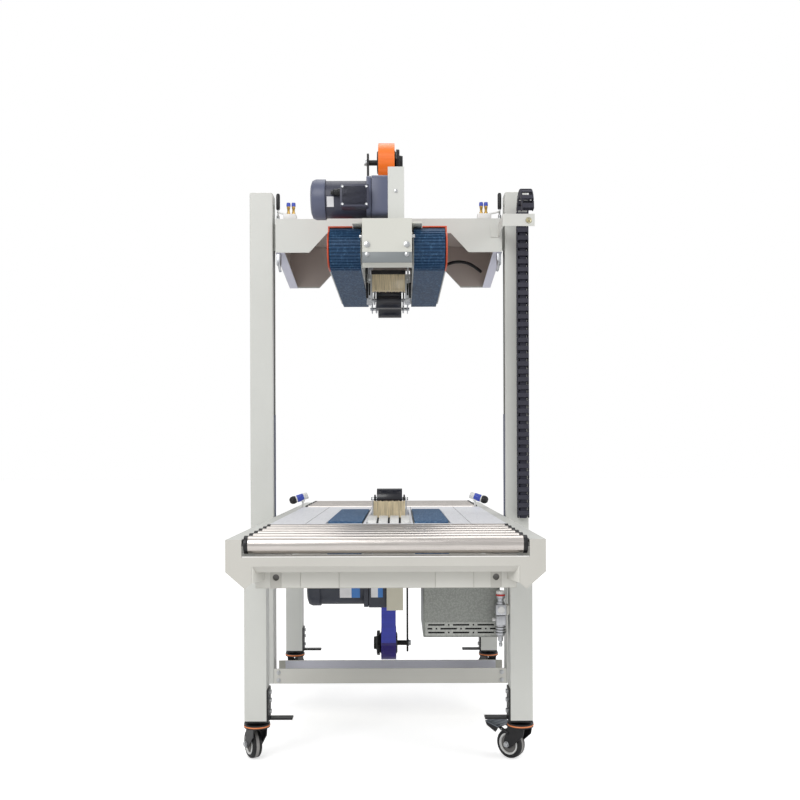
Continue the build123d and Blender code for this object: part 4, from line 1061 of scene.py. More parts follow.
@dataclass
class Caster:
    """Swivel caster: black fork with an orange bearing ring, tyre, hub and axle nut."""

    bench: Bench
    name: str
    heading: float
    braked: bool
    trail: float = 0.03
    wheel_radius: float = 0.0375
    half_width: float = 0.013
    ring_height: float = 0.0917

    def frame(self) -> tuple[Vector, Vector, Vector]:
        """Return the swivel centre, the trail direction and the axle direction."""
        low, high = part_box(f"{self.name}_caster_wheel")
        way = Vector((cos(radians(self.heading)), sin(radians(self.heading)), 0))
        axle = Vector((sin(radians(self.heading)), -cos(radians(self.heading)), 0))
        centre = Vector(((low.x + high.x) / 2, (low.y + high.y) / 2, 0)) - way * self.trail
        return centre, way, axle

    def fork(self) -> None:
        """Dress the fork and fit its ring and axle nuts."""
        node = f"{self.name}_caster_fork"
        self.bench.paint(node, BLACK_PAINT)
        centre, way, axle = self.frame()
        up = Vector((0, 0, 1))
        ring = Shop.lathe(
            [(0.0262, -0.0018), (0.0332, -0.0018), (0.034, 0), (0.0332, 0.0016), (0.0262, 0.0016), (0.0262, -0.0018)],
            tuple(centre + up * self.ring_height), Axis.Z, 56,
        )
        self.bench.mount([ring], f"{self.name}_bearing_ring", node, RING_ORANGE)
        cover = Shop.lathe(
            [(0.0075, 0.0016), (0.0325, 0.0016), (0.0318, 0.0045), (0.027, 0.0062), (0.0075, 0.0062), (0.0075, 0.0016)],
            tuple(centre + up * self.ring_height), Axis.Z, 56,
        )
        self.bench.mount([cover], f"{self.name}_bearing_cover", node, BLACK_PLASTIC)
        hub = centre + way * self.trail + up * self.wheel_radius
        nuts = [Shop.bolt(tuple(hub + axle * side * 0.0192), axle * side, 0.0065) for side in (-1, 1)]
        self.bench.mount(nuts, f"{self.name}_axle_nuts", node, ZINC)

    def wheel(self) -> None:
        """Turn tyre, tread band, rim ring and hub disc."""
        node = f"{self.name}_caster_wheel"
        centre, way, axle = self.frame()
        hub = tuple(centre + way * self.trail + Vector((0, 0, self.wheel_radius)))
        r, h = self.wheel_radius, self.half_width
        tyre = Shop.lathe(
            [(0.0262, -h + 0.002), (0.030, -h), (r - 0.004, -h + 0.0005), (r - 0.0012, -h + 0.003), (r - 0.0004, -h + 0.007),
             (r - 0.0002, -h + 0.009), (r - 0.0002, h - 0.009), (r - 0.0004, h - 0.007), (r - 0.0012, h - 0.003), (r - 0.004, h - 0.0005),
             (0.030, h), (0.0262, h - 0.002), (0.0262, -h + 0.002)], hub, axle, 64,
        )
        self.bench.mount([tyre], f"{self.name}_tyre", node, BLACK_RUBBER, replaces=True)
        tread = Shop.lathe(
            [(r - 0.002, -0.0042), (r - 0.0001, -0.004), (r, -0.0034), (r, 0.0034), (r - 0.0001, 0.004), (r - 0.002, 0.0042),
             (r - 0.002, -0.0042)], hub, axle, 64,
        )
        self.bench.mount([tread], f"{self.name}_tread_band", node, TREAD_GREY)
        rims = [
            Shop.lathe(
                [(0.0225, side * (h - 0.0034)), (0.0245, side * (h + 0.0002)), (0.0268, side * (h + 0.0002)),
                 (0.0282, side * (h - 0.0024)), (0.0262, side * (h - 0.0045)), (0.0225, side * (h - 0.0034))], hub, axle, 56,
            )
            for side in (-1, 1)
        ]
        self.bench.mount(rims, f"{self.name}_rim_rings", node, WHITE_PLASTIC)
        disc = Shop.lathe(
            [(0.0043, -0.0135), (0.010, -0.0135), (0.0115, -0.0085), (0.0228, -0.0075), (0.0262, -0.0105),
             (0.0262, 0.0105), (0.0228, 0.0075), (0.0115, 0.0085), (0.010, 0.0135), (0.0043, 0.0135), (0.0043, -0.0135)],
            hub, axle, 56,
        )
        self.bench.mount([disc], f"{self.name}_hub", node, GREY_RUBBER)

    def pedal(self) -> None:
        """Hang the brake pedal and its links over the wheel."""
        node = f"{self.name}_caster_fork"
        centre, way, axle = self.frame()
        up = Vector((0, 0, 1))
        place = centre + way * 0.07 + up * 0.085
        across = axle
        board = [Shop.block((-0.023, -0.03, -0.0015), (0.021, 0.03, 0.0015), 0.0012)]
        for shift in (-0.014, -0.002, 0.01):
            board.append(Shop.drum((shift, 0, 0.0015), 0.002, 0.052, Axis.Y, 0.0005, sides=12))
        cheeks = [
            Shop.plate([(-0.022, -0.001), (0.02, -0.001), (0.014, -0.009), (-0.016, -0.016)], Axis.X, side * 0.0285 - 0.001, 0.002, 0.0004)
            for side in (-1, 1)
        ]
        for cheek in cheeks:
            cheek.rotation_euler = (0, 0, radians(-90))
            Shop.settle(cheek)
        tread, sides = Shop.join(board), Shop.join(cheeks)
        for piece in (tread, sides):
            piece.rotation_euler = (0, radians(-12), radians(self.heading))
            piece.location = place
            Shop.settle(piece)
        self.bench.mount([tread], f"{self.name}_pedal_tread", node, PEDAL_STEEL)
        arms = [
            Shop.drum(tuple(centre + way * 0.04 + across * side * 0.0185 + up * 0.073), 0.0042, 0.034, way + up * 0.45, 0.001, sides=16)
            for side in (-1, 1)
        ]
        self.bench.mount([sides, *arms], f"{self.name}_brake_pedal", node, BLACK_PAINT)
        pins = [
            Shop.drum(tuple(centre + way * 0.045 + across * side * 0.021 + up * 0.074), 0.0035, 0.003, across, 0.0006, sides=20)
            for side in (-1, 1)
        ]
        self.bench.mount(pins, f"{self.name}_brake_pins", node, ZINC)

    def build(self) -> None:
        """Build the caster."""
        self.fork()
        self.wheel()
        if self.braked:
            self.pedal()


@dataclass
class HeadFrame:
    """Painted head frame with a taupe skin of painted shade on its inner faces, pale skins of painted light under its
    flanges, and side fittings.
    """

    bench: Bench
    wall: float = 0.003
    skin: float = 0.0006
    front: float = -0.045
    back: float = 0.307
    half: float = 0.334
    flange: float = 0.027
    front_foot: float = 1.38
    back_foot: float = 1.34
    top: float = 1.479

    def inner_shade_skin(self) -> None:
        """Cover the inner faces of the rear plate, front plate, top and sides with a thin taupe skin of painted shade.
        """
        pieces = []
        for y, foot, wing in (
            (self.back - self.wall - self.skin, self.back_foot, 0.235),
            (self.front + self.wall, self.front_foot, 0.235),
        ):
            lift = foot + 0.004
            outline = [
                (-self.half + 0.004, self.top - 0.004), (self.half - 0.004, self.top - 0.004), (self.half - 0.004, lift),
                (wing, lift), (0.184, foot + 0.056), (-0.184, foot + 0.056), (-wing, lift), (-self.half + 0.004, lift),
            ]
            pieces.append(Shop.plate(outline, Axis.Y, y, self.skin, 0))
        pieces.append(Shop.block(
            (-self.half + 0.004, self.front + 0.004, self.top - self.wall - self.skin),
            (self.half - 0.004, self.back - 0.004, self.top - self.wall), 0.0002, 1,
        ))
        for side in (-1, 1):
            start = side * (self.half - self.wall) - (self.skin if side > 0 else 0)
            outline = [
                (self.front + 0.004, self.top - 0.004), (self.back - 0.004, self.top - 0.004),
                (self.back - 0.004, self.back_foot + 0.0045), (self.front + 0.004, self.front_foot + 0.0045),
            ]
            pieces.append(Shop.plate(outline, Axis.X, start, self.skin, 0))
        # The taupe skin is painted shade on the inner faces.
        self.bench.mount(pieces, "head_lining", "head_frame", PAINTED_INNER_SHADE)

    def lips(self) -> None:
        """Lay a pale bluish skin of painted light under the two sloping flanges."""
        pieces = []
        for side in (-1, 1):
            inner, outer = sorted((side * (self.half - self.flange), side * (self.half - 0.001)))
            outline = [
                (self.front + 0.001, self.front_foot - 0.0006), (self.back - 0.001, self.back_foot - 0.0006),
                (self.back - 0.001, self.back_foot), (self.front + 0.001, self.front_foot),
            ]
            pieces.append(Shop.plate(outline, Axis.X, inner, outer - inner, 0))
        # These pale skins are painted light on faces that look down.
        self.bench.mount(pieces, "head_flange_undersides", "head_frame", PAINTED_FLANGE_LIGHT)

    def valves(self) -> None:
        """Two flow valves on a white block and a black damper at each end of the head's top."""
        for hand, side, xs, block in (
            ("left", -1, (-0.297, -0.282), (-0.311, -0.273)), ("right", 1, (0.274, 0.288), (0.262, 0.303)),
        ):
            y, top = -0.03, self.top
            base = Shop.block((block[0], y - 0.014, top), (block[1], y + 0.014, top + 0.016), 0.002)
            self.bench.mount([base], f"{hand}_valve_block", "head_frame", WHITE_PLASTIC)
            stems = [Shop.lathe(
                [(0, 0.016), (0.0052, 0.016), (0.0052, 0.022), (0.0038, 0.024), (0.0038, 0.032), (0.0048, 0.034), (0.0048, 0.04), (0, 0.04)],
                (x, y, top), Axis.Z, 20) for x in xs]
            self.bench.mount(stems, f"{hand}_valve_bodies", "head_frame", BRASS)
            knobs = [Shop.lathe(
                [(0, 0.04), (0.0058, 0.04), (0.0062, 0.045), (0.0055, 0.051), (0, 0.0525)], (x, y, top), Axis.Z, 24,
            ) for x in xs]
            self.bench.mount(knobs, f"{hand}_valve_knobs", "head_frame", BLUE_PLASTIC)
            x = side * 0.3305
            sleeve = Shop.lathe(
                [(0, 0.036), (0.0045, 0.036), (0.0058, 0.04), (0.0058, 0.079), (0.004, 0.084), (0, 0.084)],
                (x, y + 0.02, top), Axis.Z, 28,
            )
            self.bench.mount([sleeve], f"{hand}_damper_sleeve", "head_frame", BLACK_PLASTIC)
            stem = Shop.lathe(
                [(0, 0), (0.0052, 0), (0.0052, 0.01), (0.0028, 0.012), (0.0028, 0.037), (0, 0.037)], (x, y + 0.02, top), Axis.Z, 24,
            )
            nut = Shop.drum((x, y + 0.02, top + 0.015), 0.005, 0.006, Axis.Z, 0.0005, sides=6)
            self.bench.mount([stem, nut], f"{hand}_damper_stem", "head_frame", ZINC)
            elbow = Shop.hose(
                [(block[1] if side < 0 else block[0], y, top + 0.01), (x - side * 0.012, y + 0.004, top + 0.022),
                 (x - side * 0.004, y + 0.01, top + 0.026), (x, y + 0.017, top + 0.03)], 0.0028,
            )
            self.bench.mount([elbow], f"{hand}_air_elbow", "head_frame", WHITE_PLASTIC)

    def clamps(self) -> None:
        """Lever clamps under the ends of the head, and the air hose inside it."""
        for hand, side in (("left", -1), ("right", 1)):
            x = side * 0.322
            near, far = sorted((x - side * 0.002, x + side * 0.01))
            body = Shop.block((near, -0.04, 1.345), (far, -0.016, 1.3795), 0.002)
            lever = Shop.hose([(x, -0.03, 1.362), (x + side * 0.004, -0.046, 1.344), (x - side * 0.004, -0.058, 1.322)], 0.0038)
            self.bench.mount([body, lever], f"{hand}_lever_clamp", "head_frame", SILVER)
        hose = Shop.hose(
            [(0.182, 0.262, 1.405), (0.2, 0.25, 1.412), (0.235, 0.244, 1.414), (0.272, 0.252, 1.404), (0.3, 0.275, 1.386)], 0.005,
        )
        self.bench.mount([hose], "head_air_hose", "head_frame", BLACK_RUBBER)

    def build(self) -> None:
        """Build the head frame's dress."""
        self.bench.paint("head_frame", LIGHT_PAINT)
        self.inner_shade_skin()
        self.lips()
        self.valves()
        self.clamps()


@dataclass
class FrontBox:
    """Nose of the head: coated box, grey band, bolts, side pins and shoulder tabs."""

    bench: Bench
    bolt_x: float = 0.0503
    face: float = -0.43

    def build(self) -> None:
        """Dress the box and add its fittings."""
        self.bench.paint("front_box", BOX_PAINT)
        low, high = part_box("front_box")
        band = Shop.block((-0.0632, self.face - 0.0012, 1.268), (0.0632, self.face + 0.004, 1.2945), 0.0006)
        self.bench.mount([band], "front_box_band", "front_box", BAND_PAINT)
        bolts = []
        for side in (-1, 1):
            bolts.append(Shop.bolt((side * self.bolt_x, self.face, 1.3135), Vector((0, -1, 0)), 0.0068))
            bolts.append(Shop.bolt((side * self.bolt_x, self.face - 0.0012, 1.288), Vector((0, -1, 0)), 0.005))
        self.bench.mount(bolts, "front_box_bolts", "front_box", ZINC)
        pins = [
            Shop.drum((side * 0.0665, self.face + 0.02, 1.339), 0.0045, 0.009, Axis.X, 0.0008, ((0.0015, -0.0008),), 24)
            for side in (-1, 1)
        ]
        self.bench.mount(pins, "front_box_side_pins", "front_box", ZINC)
        tabs = [
            Shop.block(
                (min(side * 0.0635, side * 0.09), -0.395, 1.375), (max(side * 0.0635, side * 0.09), -0.30, 1.3805), 0.002,
            )
            for side in (-1, 1)
        ]
        self.bench.mount(tabs, "front_box_shoulder_tabs", "front_box", BOX_PAINT)


@dataclass
class GearMotor:
    """Induction motor with fan cap, barrel, square gearhead, terminal box and cable gland."""

    bench: Bench
    node: str
    y: float
    z: float
    cap_x: float
    barrel_x: float
    gear_x: float
    end_x: float
    box_side: int
    box_span: Flat
    box_rise: Flat
    plates: tuple[tuple[float, float, float, float, bool], ...]
    coat: Finish = MOTOR_PAINT
    barrel_coat: Finish = MOTOR_DARK
    half: float = 0.0515

    def square(self, half: float, corner: float) -> list[Flat]:
        """Rounded square outline about the motor's axis."""
        points = []
        for sy, sz, start in ((1, 1, 0), (-1, 1, 90), (-1, -1, 180), (1, -1, 270)):
            for step in range(6):
                turn = radians(start + step * 18)
                points.append((
                    self.y + sy * (half - corner) + corner * cos(turn), self.z + sz * (half - corner) + corner * sin(turn),
                ))
        return points

    def build(self) -> None:
        """Build the motor."""
        cap_length = self.barrel_x - self.cap_x
        cap = Shop.lathe(
            [(0, 0), (self.half - 0.014, 0), (self.half - 0.004, 0.004), (self.half, 0.013), (self.half, cap_length), (0, cap_length)],
            (self.cap_x, self.y, self.z), Axis.X, 64,
        )
        self.bench.mount([cap], f"{self.node}_fan_cap", self.node, self.coat)
        middle = (self.barrel_x + self.gear_x) / 2
        barrel = Shop.drum((middle, self.y, self.z), self.half - 0.004, self.gear_x - self.barrel_x + 0.002, Axis.X, 0.001, sides=64)
        self.bench.mount([barrel], f"{self.node}_barrel", self.node, self.barrel_coat, replaces=True)
        flange = Shop.plate(self.square(self.half - 0.001, 0.014), Axis.X, self.gear_x, 0.012, 0.001)
        gear = Shop.plate(self.square(self.half, 0.012), Axis.X, self.gear_x + 0.013, self.end_x - self.gear_x - 0.013, 0.0015)
        self.bench.mount([flange, gear], f"{self.node}_gearhead", self.node, self.coat)
        face = self.y + self.box_side * (self.half + 0.025)
        near, far = sorted((face, self.y + self.box_side * 0.03))
        left, right = self.box_span
        low, high = self.z + self.box_rise[0], self.z + self.box_rise[1]
        box = Shop.block((left, near, low), (right, far, high), 0.004, 3)
        lid_near, lid_far = sorted((face, face - self.box_side * 0.002))
        lid = Shop.block((left - 0.001, lid_near, low - 0.001), (right + 0.001, lid_far, high + 0.001), 0.0015)
        self.bench.mount([box, lid], f"{self.node}_terminal_box", self.node, TERMINAL_BLACK)
        screws = [
            Shop.drum((x, face, z), 0.0032, 0.003, Axis.Y, 0.0006, ((0.001, -0.0006),), 20)
            for x in (left + 0.005, right - 0.005) for z in (low + 0.005, high - 0.005)
        ]
        self.bench.mount(screws, f"{self.node}_lid_screws", self.node, ZINC)
        gland = Shop.lathe(
            [(0, -0.026), (0.0045, -0.026), (0.0055, -0.02), (0.009, -0.018), (0.009, -0.008), (0.0105, -0.007), (0.0105, 0), (0, 0)],
            (left, (near + far) / 2, self.z + 0.004), Axis.X, 12,
        )
        self.bench.mount([gland], f"{self.node}_cable_gland", self.node, BLACK_PLASTIC)
        self.labels()

    def labels(self) -> None:
        """Lay the bare rating plates, white with a coloured band, on the side that faces the infeed."""
        whites, bands = [], []
        for start, end, low, high, banded in self.plates:
            round_part = end < self.gear_x
            offset = (low + high) / 2 - self.z
            turn = -asin(max(-1.0, min(1.0, offset / (self.half - 0.004)))) if round_part else 0.0
            radius = self.half - 0.0036 if round_part else self.half + 0.0003
            middle = Vector((0, self.y - radius * cos(turn), self.z + (-radius * sin(turn) if round_part else offset)))
            split = end - (end - start) * 0.42 if banded else end
            for left, right, group in ((start, split, whites), (split, end, bands)):
                if right - left < 0.001:
                    continue
                width, height = right - left, high - low
                plate = Shop.block((-width / 2, -0.0005, -height / 2), (width / 2, 0.0005, height / 2), 0.0003, 1)
                plate.rotation_euler = (turn, 0, 0)
                plate.location = middle + Vector(((left + right) / 2, 0, 0))
                group.append(Shop.settle(plate))
        self.bench.mount(whites, f"{self.node}_rating_plates", self.node, LABEL_WHITE)
        if bands:
            self.bench.mount(bands, f"{self.node}_rating_bands", self.node, LABEL_BLUE)


@dataclass
class TapeStation:
    """Roll of tape on its hub with end knobs, and the arm that holds it."""

    bench: Bench
    roll: str
    arm: str
    film: Finish
    knob_side: int
    core_radius: float = 0.038
    strand: bool = False

    def build(self) -> None:
        """Build roll, hub and knobs."""
        low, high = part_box(self.roll)
        x, y, z = ((a + b) / 2 for a, b in zip(low, high))
        radius = (high.z - low.z) / 2
        half = 0.024
        core = self.core_radius
        tape = Shop.lathe(
            [(core, -half), (radius - 0.0006, -half), (radius, -half + 0.0006), (radius, half - 0.0006), (radius - 0.0006, half), (core, half), (core, -half)],
            (x, y, z), Axis.X, 96,
        )
        self.bench.mount([tape], f"{self.roll}_film", self.roll, self.film, replaces=True)
        hub = Shop.lathe(
            [(0.0082, -half - 0.004), (0.03, -half - 0.004), (0.034, -half - 0.001), (core - 0.0004, -half + 0.002), (core - 0.0004, half - 0.002),
             (0.034, half + 0.001), (0.03, half + 0.004), (0.0082, half + 0.004), (0.0082, -half - 0.004)],
            (x, y, z), Axis.X, 64,
        )
        self.bench.mount([hub], f"{self.roll}_hub", self.roll, BLACK_PLASTIC)
        side = self.knob_side
        rim = 0.04
        flange = Shop.lathe(
            [(0.0082, half + 0.0045), (rim, half + 0.0045), (rim, half + 0.0125), (rim - 0.003, half + 0.0145),
             (0.022, half + 0.0145), (0.02, half + 0.024), (0.0082, half + 0.024), (0.0082, half + 0.0045)],
            (x, y, z), Vector((side, 0, 0)), 8,
        )
        self.bench.mount([flange], f"{self.roll}_flange", self.roll, BLACK_PLASTIC)
        self.bench.paint(self.arm, BLACK_PAINT)
        arm_low, arm_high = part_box(self.arm)
        tip = arm_high.x if side > 0 else arm_low.x
        root = arm_low.x if side > 0 else arm_high.x
        knob = Shop.lathe(
            [(0, -0.012), (0.012, -0.012), (0.0135, -0.009), (0.0135, 0), (0.012, 0.001), (0, 0.001)],
            (tip, y, z), Axis.X, 20,
        )
        self.bench.mount([knob], f"{self.arm}_knob", self.arm, BLACK_PLASTIC)
        nut = Shop.bolt((root, y, z), Vector((-side, 0, 0)), 0.009)
        self.bench.mount([nut], f"{self.arm}_nut", self.arm, ZINC)
        if self.strand:
            band = Shop.plate(
                [(y - radius + 0.0002, z), (y - radius + 0.0005, z), (y - radius + 0.0235, 0.505), (y - radius + 0.0232, 0.505)],
                Axis.X, x - half + 0.001, 2 * half - 0.002, 0,
            )
            self.bench.mount([band], f"{self.arm}_tape_strand", self.arm, BLUE_STRAND)


@dataclass
class EnergyChain:
    """Chain of box links up the right column, over a bend and down to the head's bracket."""

    bench: Bench
    node: str = "energy_chain"
    pitch: float = 0.023
    wall: float = 0.003
    thick: float = 0.025

    def link(self) -> bpy.types.Object:
        """One link about the origin, its travel along +Z and its outer side towards -Y."""
        low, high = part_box(self.node)
        half = (high.x - low.x) / 2
        t = self.thick / 2
        reach = self.pitch * 0.62
        parts = []
        for side in (-1, 1):
            near, far = sorted((side * half, side * (half - self.wall)))
            parts.append(Shop.block((near, -t + 0.001, -reach), (far, t - 0.001, reach * 0.7), 0.002, 1))
        bar = self.pitch * 0.3
        parts.append(Shop.block((-half + 0.001, -t, -bar), (half - 0.001, -t + 0.0035, bar), 0.001, 1))
        parts.append(Shop.block((-half + 0.001, t - 0.0035, -bar), (half - 0.001, t, bar), 0.001, 1))
        return Shop.join(parts)

    def build(self) -> None:
        """Walk the links along the chain's path."""
        low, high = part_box(self.node)
        x = (low.x + high.x) / 2
        t = self.thick / 2
        near, rear = low.y + t, high.y - t
        bend = (rear - near) / 2
        turn_z = high.z - t - bend
        rise = turn_z - low.z
        fall_foot = 1.464
        total = rise + pi * bend + turn_z - fall_foot
        count = int(total / self.pitch)
        seed = self.link()
        links = []
        for index in range(count):
            travel = self.pitch * (index + 0.75)
            if travel < rise:
                place, turn = Vector((x, rear, low.z + travel)), 0.0
            elif travel < rise + pi * bend:
                turn = (travel - rise) / bend
                place = Vector((x, (near + rear) / 2 + bend * cos(turn), turn_z + bend * sin(turn)))
            else:
                place, turn = Vector((x, near, turn_z - (travel - rise - pi * bend))), pi
            Shop.clear()
            seed.select_set(True)
            bpy.context.view_layer.objects.active = seed
            bpy.ops.object.duplicate(linked=False)
            copy = bpy.context.object
            copy.rotation_euler = (turn, 0, 0)
            copy.location = place
            links.append(Shop.settle(copy))
        bpy.data.objects.remove(seed)
        self.bench.mount(links, "energy_chain_links", self.node, CHAIN_PLASTIC, replaces=True)
        core = [
            Shop.block((x - 0.011, rear - 0.006, low.z + 0.002), (x + 0.011, rear + 0.006, turn_z), 0.002, 1),
        ]
        self.bench.mount(core, "energy_chain_cables", self.node, CHAIN_DARK)


@dataclass
class ControlBox:
    """Hammertone cabinet with three rows of vent slots and round holes."""

    bench: Bench
    rows: tuple[float, ...] = (0.340, 0.330, 0.320)
    slot: float = 0.044
    pitch: float = 0.064
    height: float = 0.0055

    def build(self) -> None:
        """Dress the box and lay black slots and dots in its front face, painted shade in the vent openings."""
        self.bench.paint("control_box", CONTROL_COAT)
        low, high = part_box("control_box")
        slots = []
        for row, z in enumerate(self.rows):
            x = low.x + 0.012 - (row % 2) * self.pitch / 2
            while x < high.x - 0.004:
                start, end = max(x, low.x + 0.01), min(x + self.slot, high.x - 0.008)
                if end - start > 0.008:
                    slots.append(Shop.block((start, low.y - 0.0006, z - self.height / 2), (end, low.y + 0.002, z + self.height / 2), 0.0014))
                dot = x + self.slot + 0.01
                if low.x + 0.008 < dot < high.x - 0.008:
                    slots.append(Shop.drum((dot, low.y + 0.0007, z), 0.0024, 0.0026, Axis.Y, 0.0004, sides=16))
                x += self.pitch
        # The black slots and dots are painted shade in the vent openings.
        self.bench.mount(slots, "control_box_vents", "control_box", SLOT_PAINTED_SHADE)
        strip = Shop.block((low.x + 0.005, low.y - 0.0003, low.z + 0.004), (high.x - 0.004, low.y + 0.001, 0.3465), 0.0002, 1)
        self.bench.mount([strip], "control_box_vent_strip", "control_box", VENT_STRIP)
        lips = [
            Shop.block((low.x - 0.0, low.y + 0.004, low.z - 0.0), (high.x, high.y - 0.004, low.z + 0.003), 0.001),
        ]
        self.bench.mount(lips, "control_box_base_lip", "control_box", BEAM_PAINT)


@dataclass
class AirUnit:
    """Slim filter and regulator with a knob, bowl, drain and red band."""

    bench: Bench
    x: float = 0.287
    y: float = -0.402

    def build(self) -> None:
        """Build the unit over its node."""
        centre = (self.x, self.y, 0.0)
        body = [
            Shop.block((self.x - 0.0135, self.y - 0.017, 0.372), (self.x + 0.0135, self.y + 0.017, 0.399), 0.002),
            Shop.block((self.x - 0.0125, self.y - 0.015, 0.346), (self.x + 0.0125, self.y + 0.015, 0.3705), 0.002),
            Shop.lathe(
                [(0, 0.371), (0.009, 0.371), (0.009, 0.373), (0, 0.373)], centre, Axis.Z, 32,
            ),
            Shop.lathe(
                [(0, 0.29), (0.004, 0.29), (0.005, 0.297), (0.0035, 0.299), (0.0035, 0.303), (0.0066, 0.305), (0.0066, 0.314),
                 (0.009, 0.318), (0.012, 0.321), (0.0125, 0.326), (0.0125, 0.3465), (0, 0.3465)], centre, Axis.Z, 40,
            ),
            Shop.lathe(
                [(0, 0.3985), (0.0105, 0.3985), (0.0105, 0.404), (0.0085, 0.406), (0.0085, 0.412), (0.0112, 0.414), (0.0112, 0.42),
                 (0, 0.42)], centre, Axis.Z, 40,
            ),
        ]
        self.bench.mount(body, "air_unit_body", "air_unit", SILVER, replaces=True)
        rings = [
            Shop.lathe(
                [(0.0124, -0.0012), (0.0132, -0.0008), (0.0132, 0.0008), (0.0124, 0.0012), (0.0124, -0.0012)],
                (self.x, self.y, z), Axis.Z, 40,
            )
            for z in (0.327, 0.334, 0.341)
        ]
        self.bench.mount(rings, "air_unit_bowl_rings", "air_unit", BLACK_PLASTIC)
        band = Shop.drum((self.x, self.y, 0.422), 0.0118, 0.0045, Axis.Z, 0.0008, sides=36)
        self.bench.mount([band], "air_unit_red_band", "air_unit", RED_BAND)
        knob = Shop.drum((self.x, self.y, 0.4285), 0.0108, 0.009, Axis.Z, 0.0015, ((0.003, 0.0),), 36)
        self.bench.mount([knob], "air_unit_knob", "air_unit", WHITE_PLASTIC)
        gauge = [
            Shop.drum((self.x, self.y - 0.0185, 0.386), 0.009, 0.003, Axis.Y, 0.0008, ((0.0015, -0.0008),), 32),
            Shop.drum((self.x - 0.0165, self.y, 0.359), 0.0045, 0.009, Axis.X, 0.0006, ((0.001, -0.001),), 6),
        ]
        self.bench.mount(gauge, "air_unit_gauge", "air_unit", WHITE_PLASTIC)
        bracket = Shop.block((0.2995, self.y - 0.013, 0.373), (0.309, self.y + 0.013, 0.397), 0.0015)
        self.bench.mount([bracket], "air_unit_bracket", "air_unit", BEAM_PAINT)


@dataclass
class Drives:
    """Brackets and posts that carry the motors, and the guards of the belts."""

    bench: Bench
    drum_y: float = -0.3425
    drum_z: float = 1.3185
    guard_radius: float = 0.0471
    guard_x: Flat = (0.1514, 0.1556)
    guard_back: float = -0.3
    cover_inner: float = 0.0915
    cover_z: Flat = (1.3765, 1.3802)
    cover_y: Flat = (-0.3506, 0.22)

    def guards(self) -> None:
        """Orange skins over the front edge and the cover of each belt's outer guard."""
        arc = [
            (self.drum_y + self.guard_radius * cos(radians(turn)), self.drum_z + self.guard_radius * sin(radians(turn)))
            for turn in range(270, 99, -10)
        ]
        outline = [(self.guard_back, self.drum_z - self.guard_radius), *arc, (self.cover_y[0], self.cover_z[0]),
                   (self.guard_back, self.cover_z[0])]
        skins = []
        for side in (-1, 1):
            near, far = sorted((side * self.guard_x[0], side * self.guard_x[1]))
            skins.append(Shop.plate(outline, Axis.X, near, far - near, 0.0004))
            near, far = sorted((side * self.cover_inner, side * self.guard_x[1]))
            skins.append(Shop.block((near, self.cover_y[0], self.cover_z[0]), (far, self.cover_y[1], self.cover_z[1]), 0.0004, 1))
        self.bench.mount(skins, "belt_guard_skins", "upper_belt_frame", ORANGE_PAINT)

    def build(self) -> None:
        """Dress the plain metalwork."""
        self.bench.paint("upper_channel", LIGHT_PAINT)
        self.bench.paint("lower_motor_bracket", BEIGE_PAINT)
        self.bench.paint("upper_belt_frame", LIGHT_PAINT)
        self.guards()
        self.bench.paint("lower_belt_frame", BEAM_PAINT)
        self.bench.paint("chain_bracket", LIGHT_PAINT)
        low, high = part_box("upper_channel")
        screw = Shop.bolt(((low.x + high.x) / 2, low.y, 1.4575), Vector((0, -1, 0)), 0.004)
        self.bench.mount([screw], "upper_channel_screw", "upper_channel", ZINC)
        low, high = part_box("chain_bracket")
        screw = Shop.lathe(
            [(0, 0.006), (0.003, 0.006), (0.0035, 0.0025), (0.006, 0.0035), (0.0085, 0.001), (0.009, 0), (0, 0)],
            (0.394, low.y, 1.4385), Vector((0, -1, 0)), 40,
        )
        self.bench.mount([screw], "chain_bracket_screw", "chain_bracket", YELLOW_ZINC)
        low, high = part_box("lower_motor_bracket")
        screw = Shop.drum((0.0165, low.y - 0.001, high.z - 0.009), 0.0045, 0.003, Axis.Y, 0.0006, ((0.0015, -0.0008),), 24)
        self.bench.mount([screw], "lower_motor_bracket_screw", "lower_motor_bracket", ZINC)


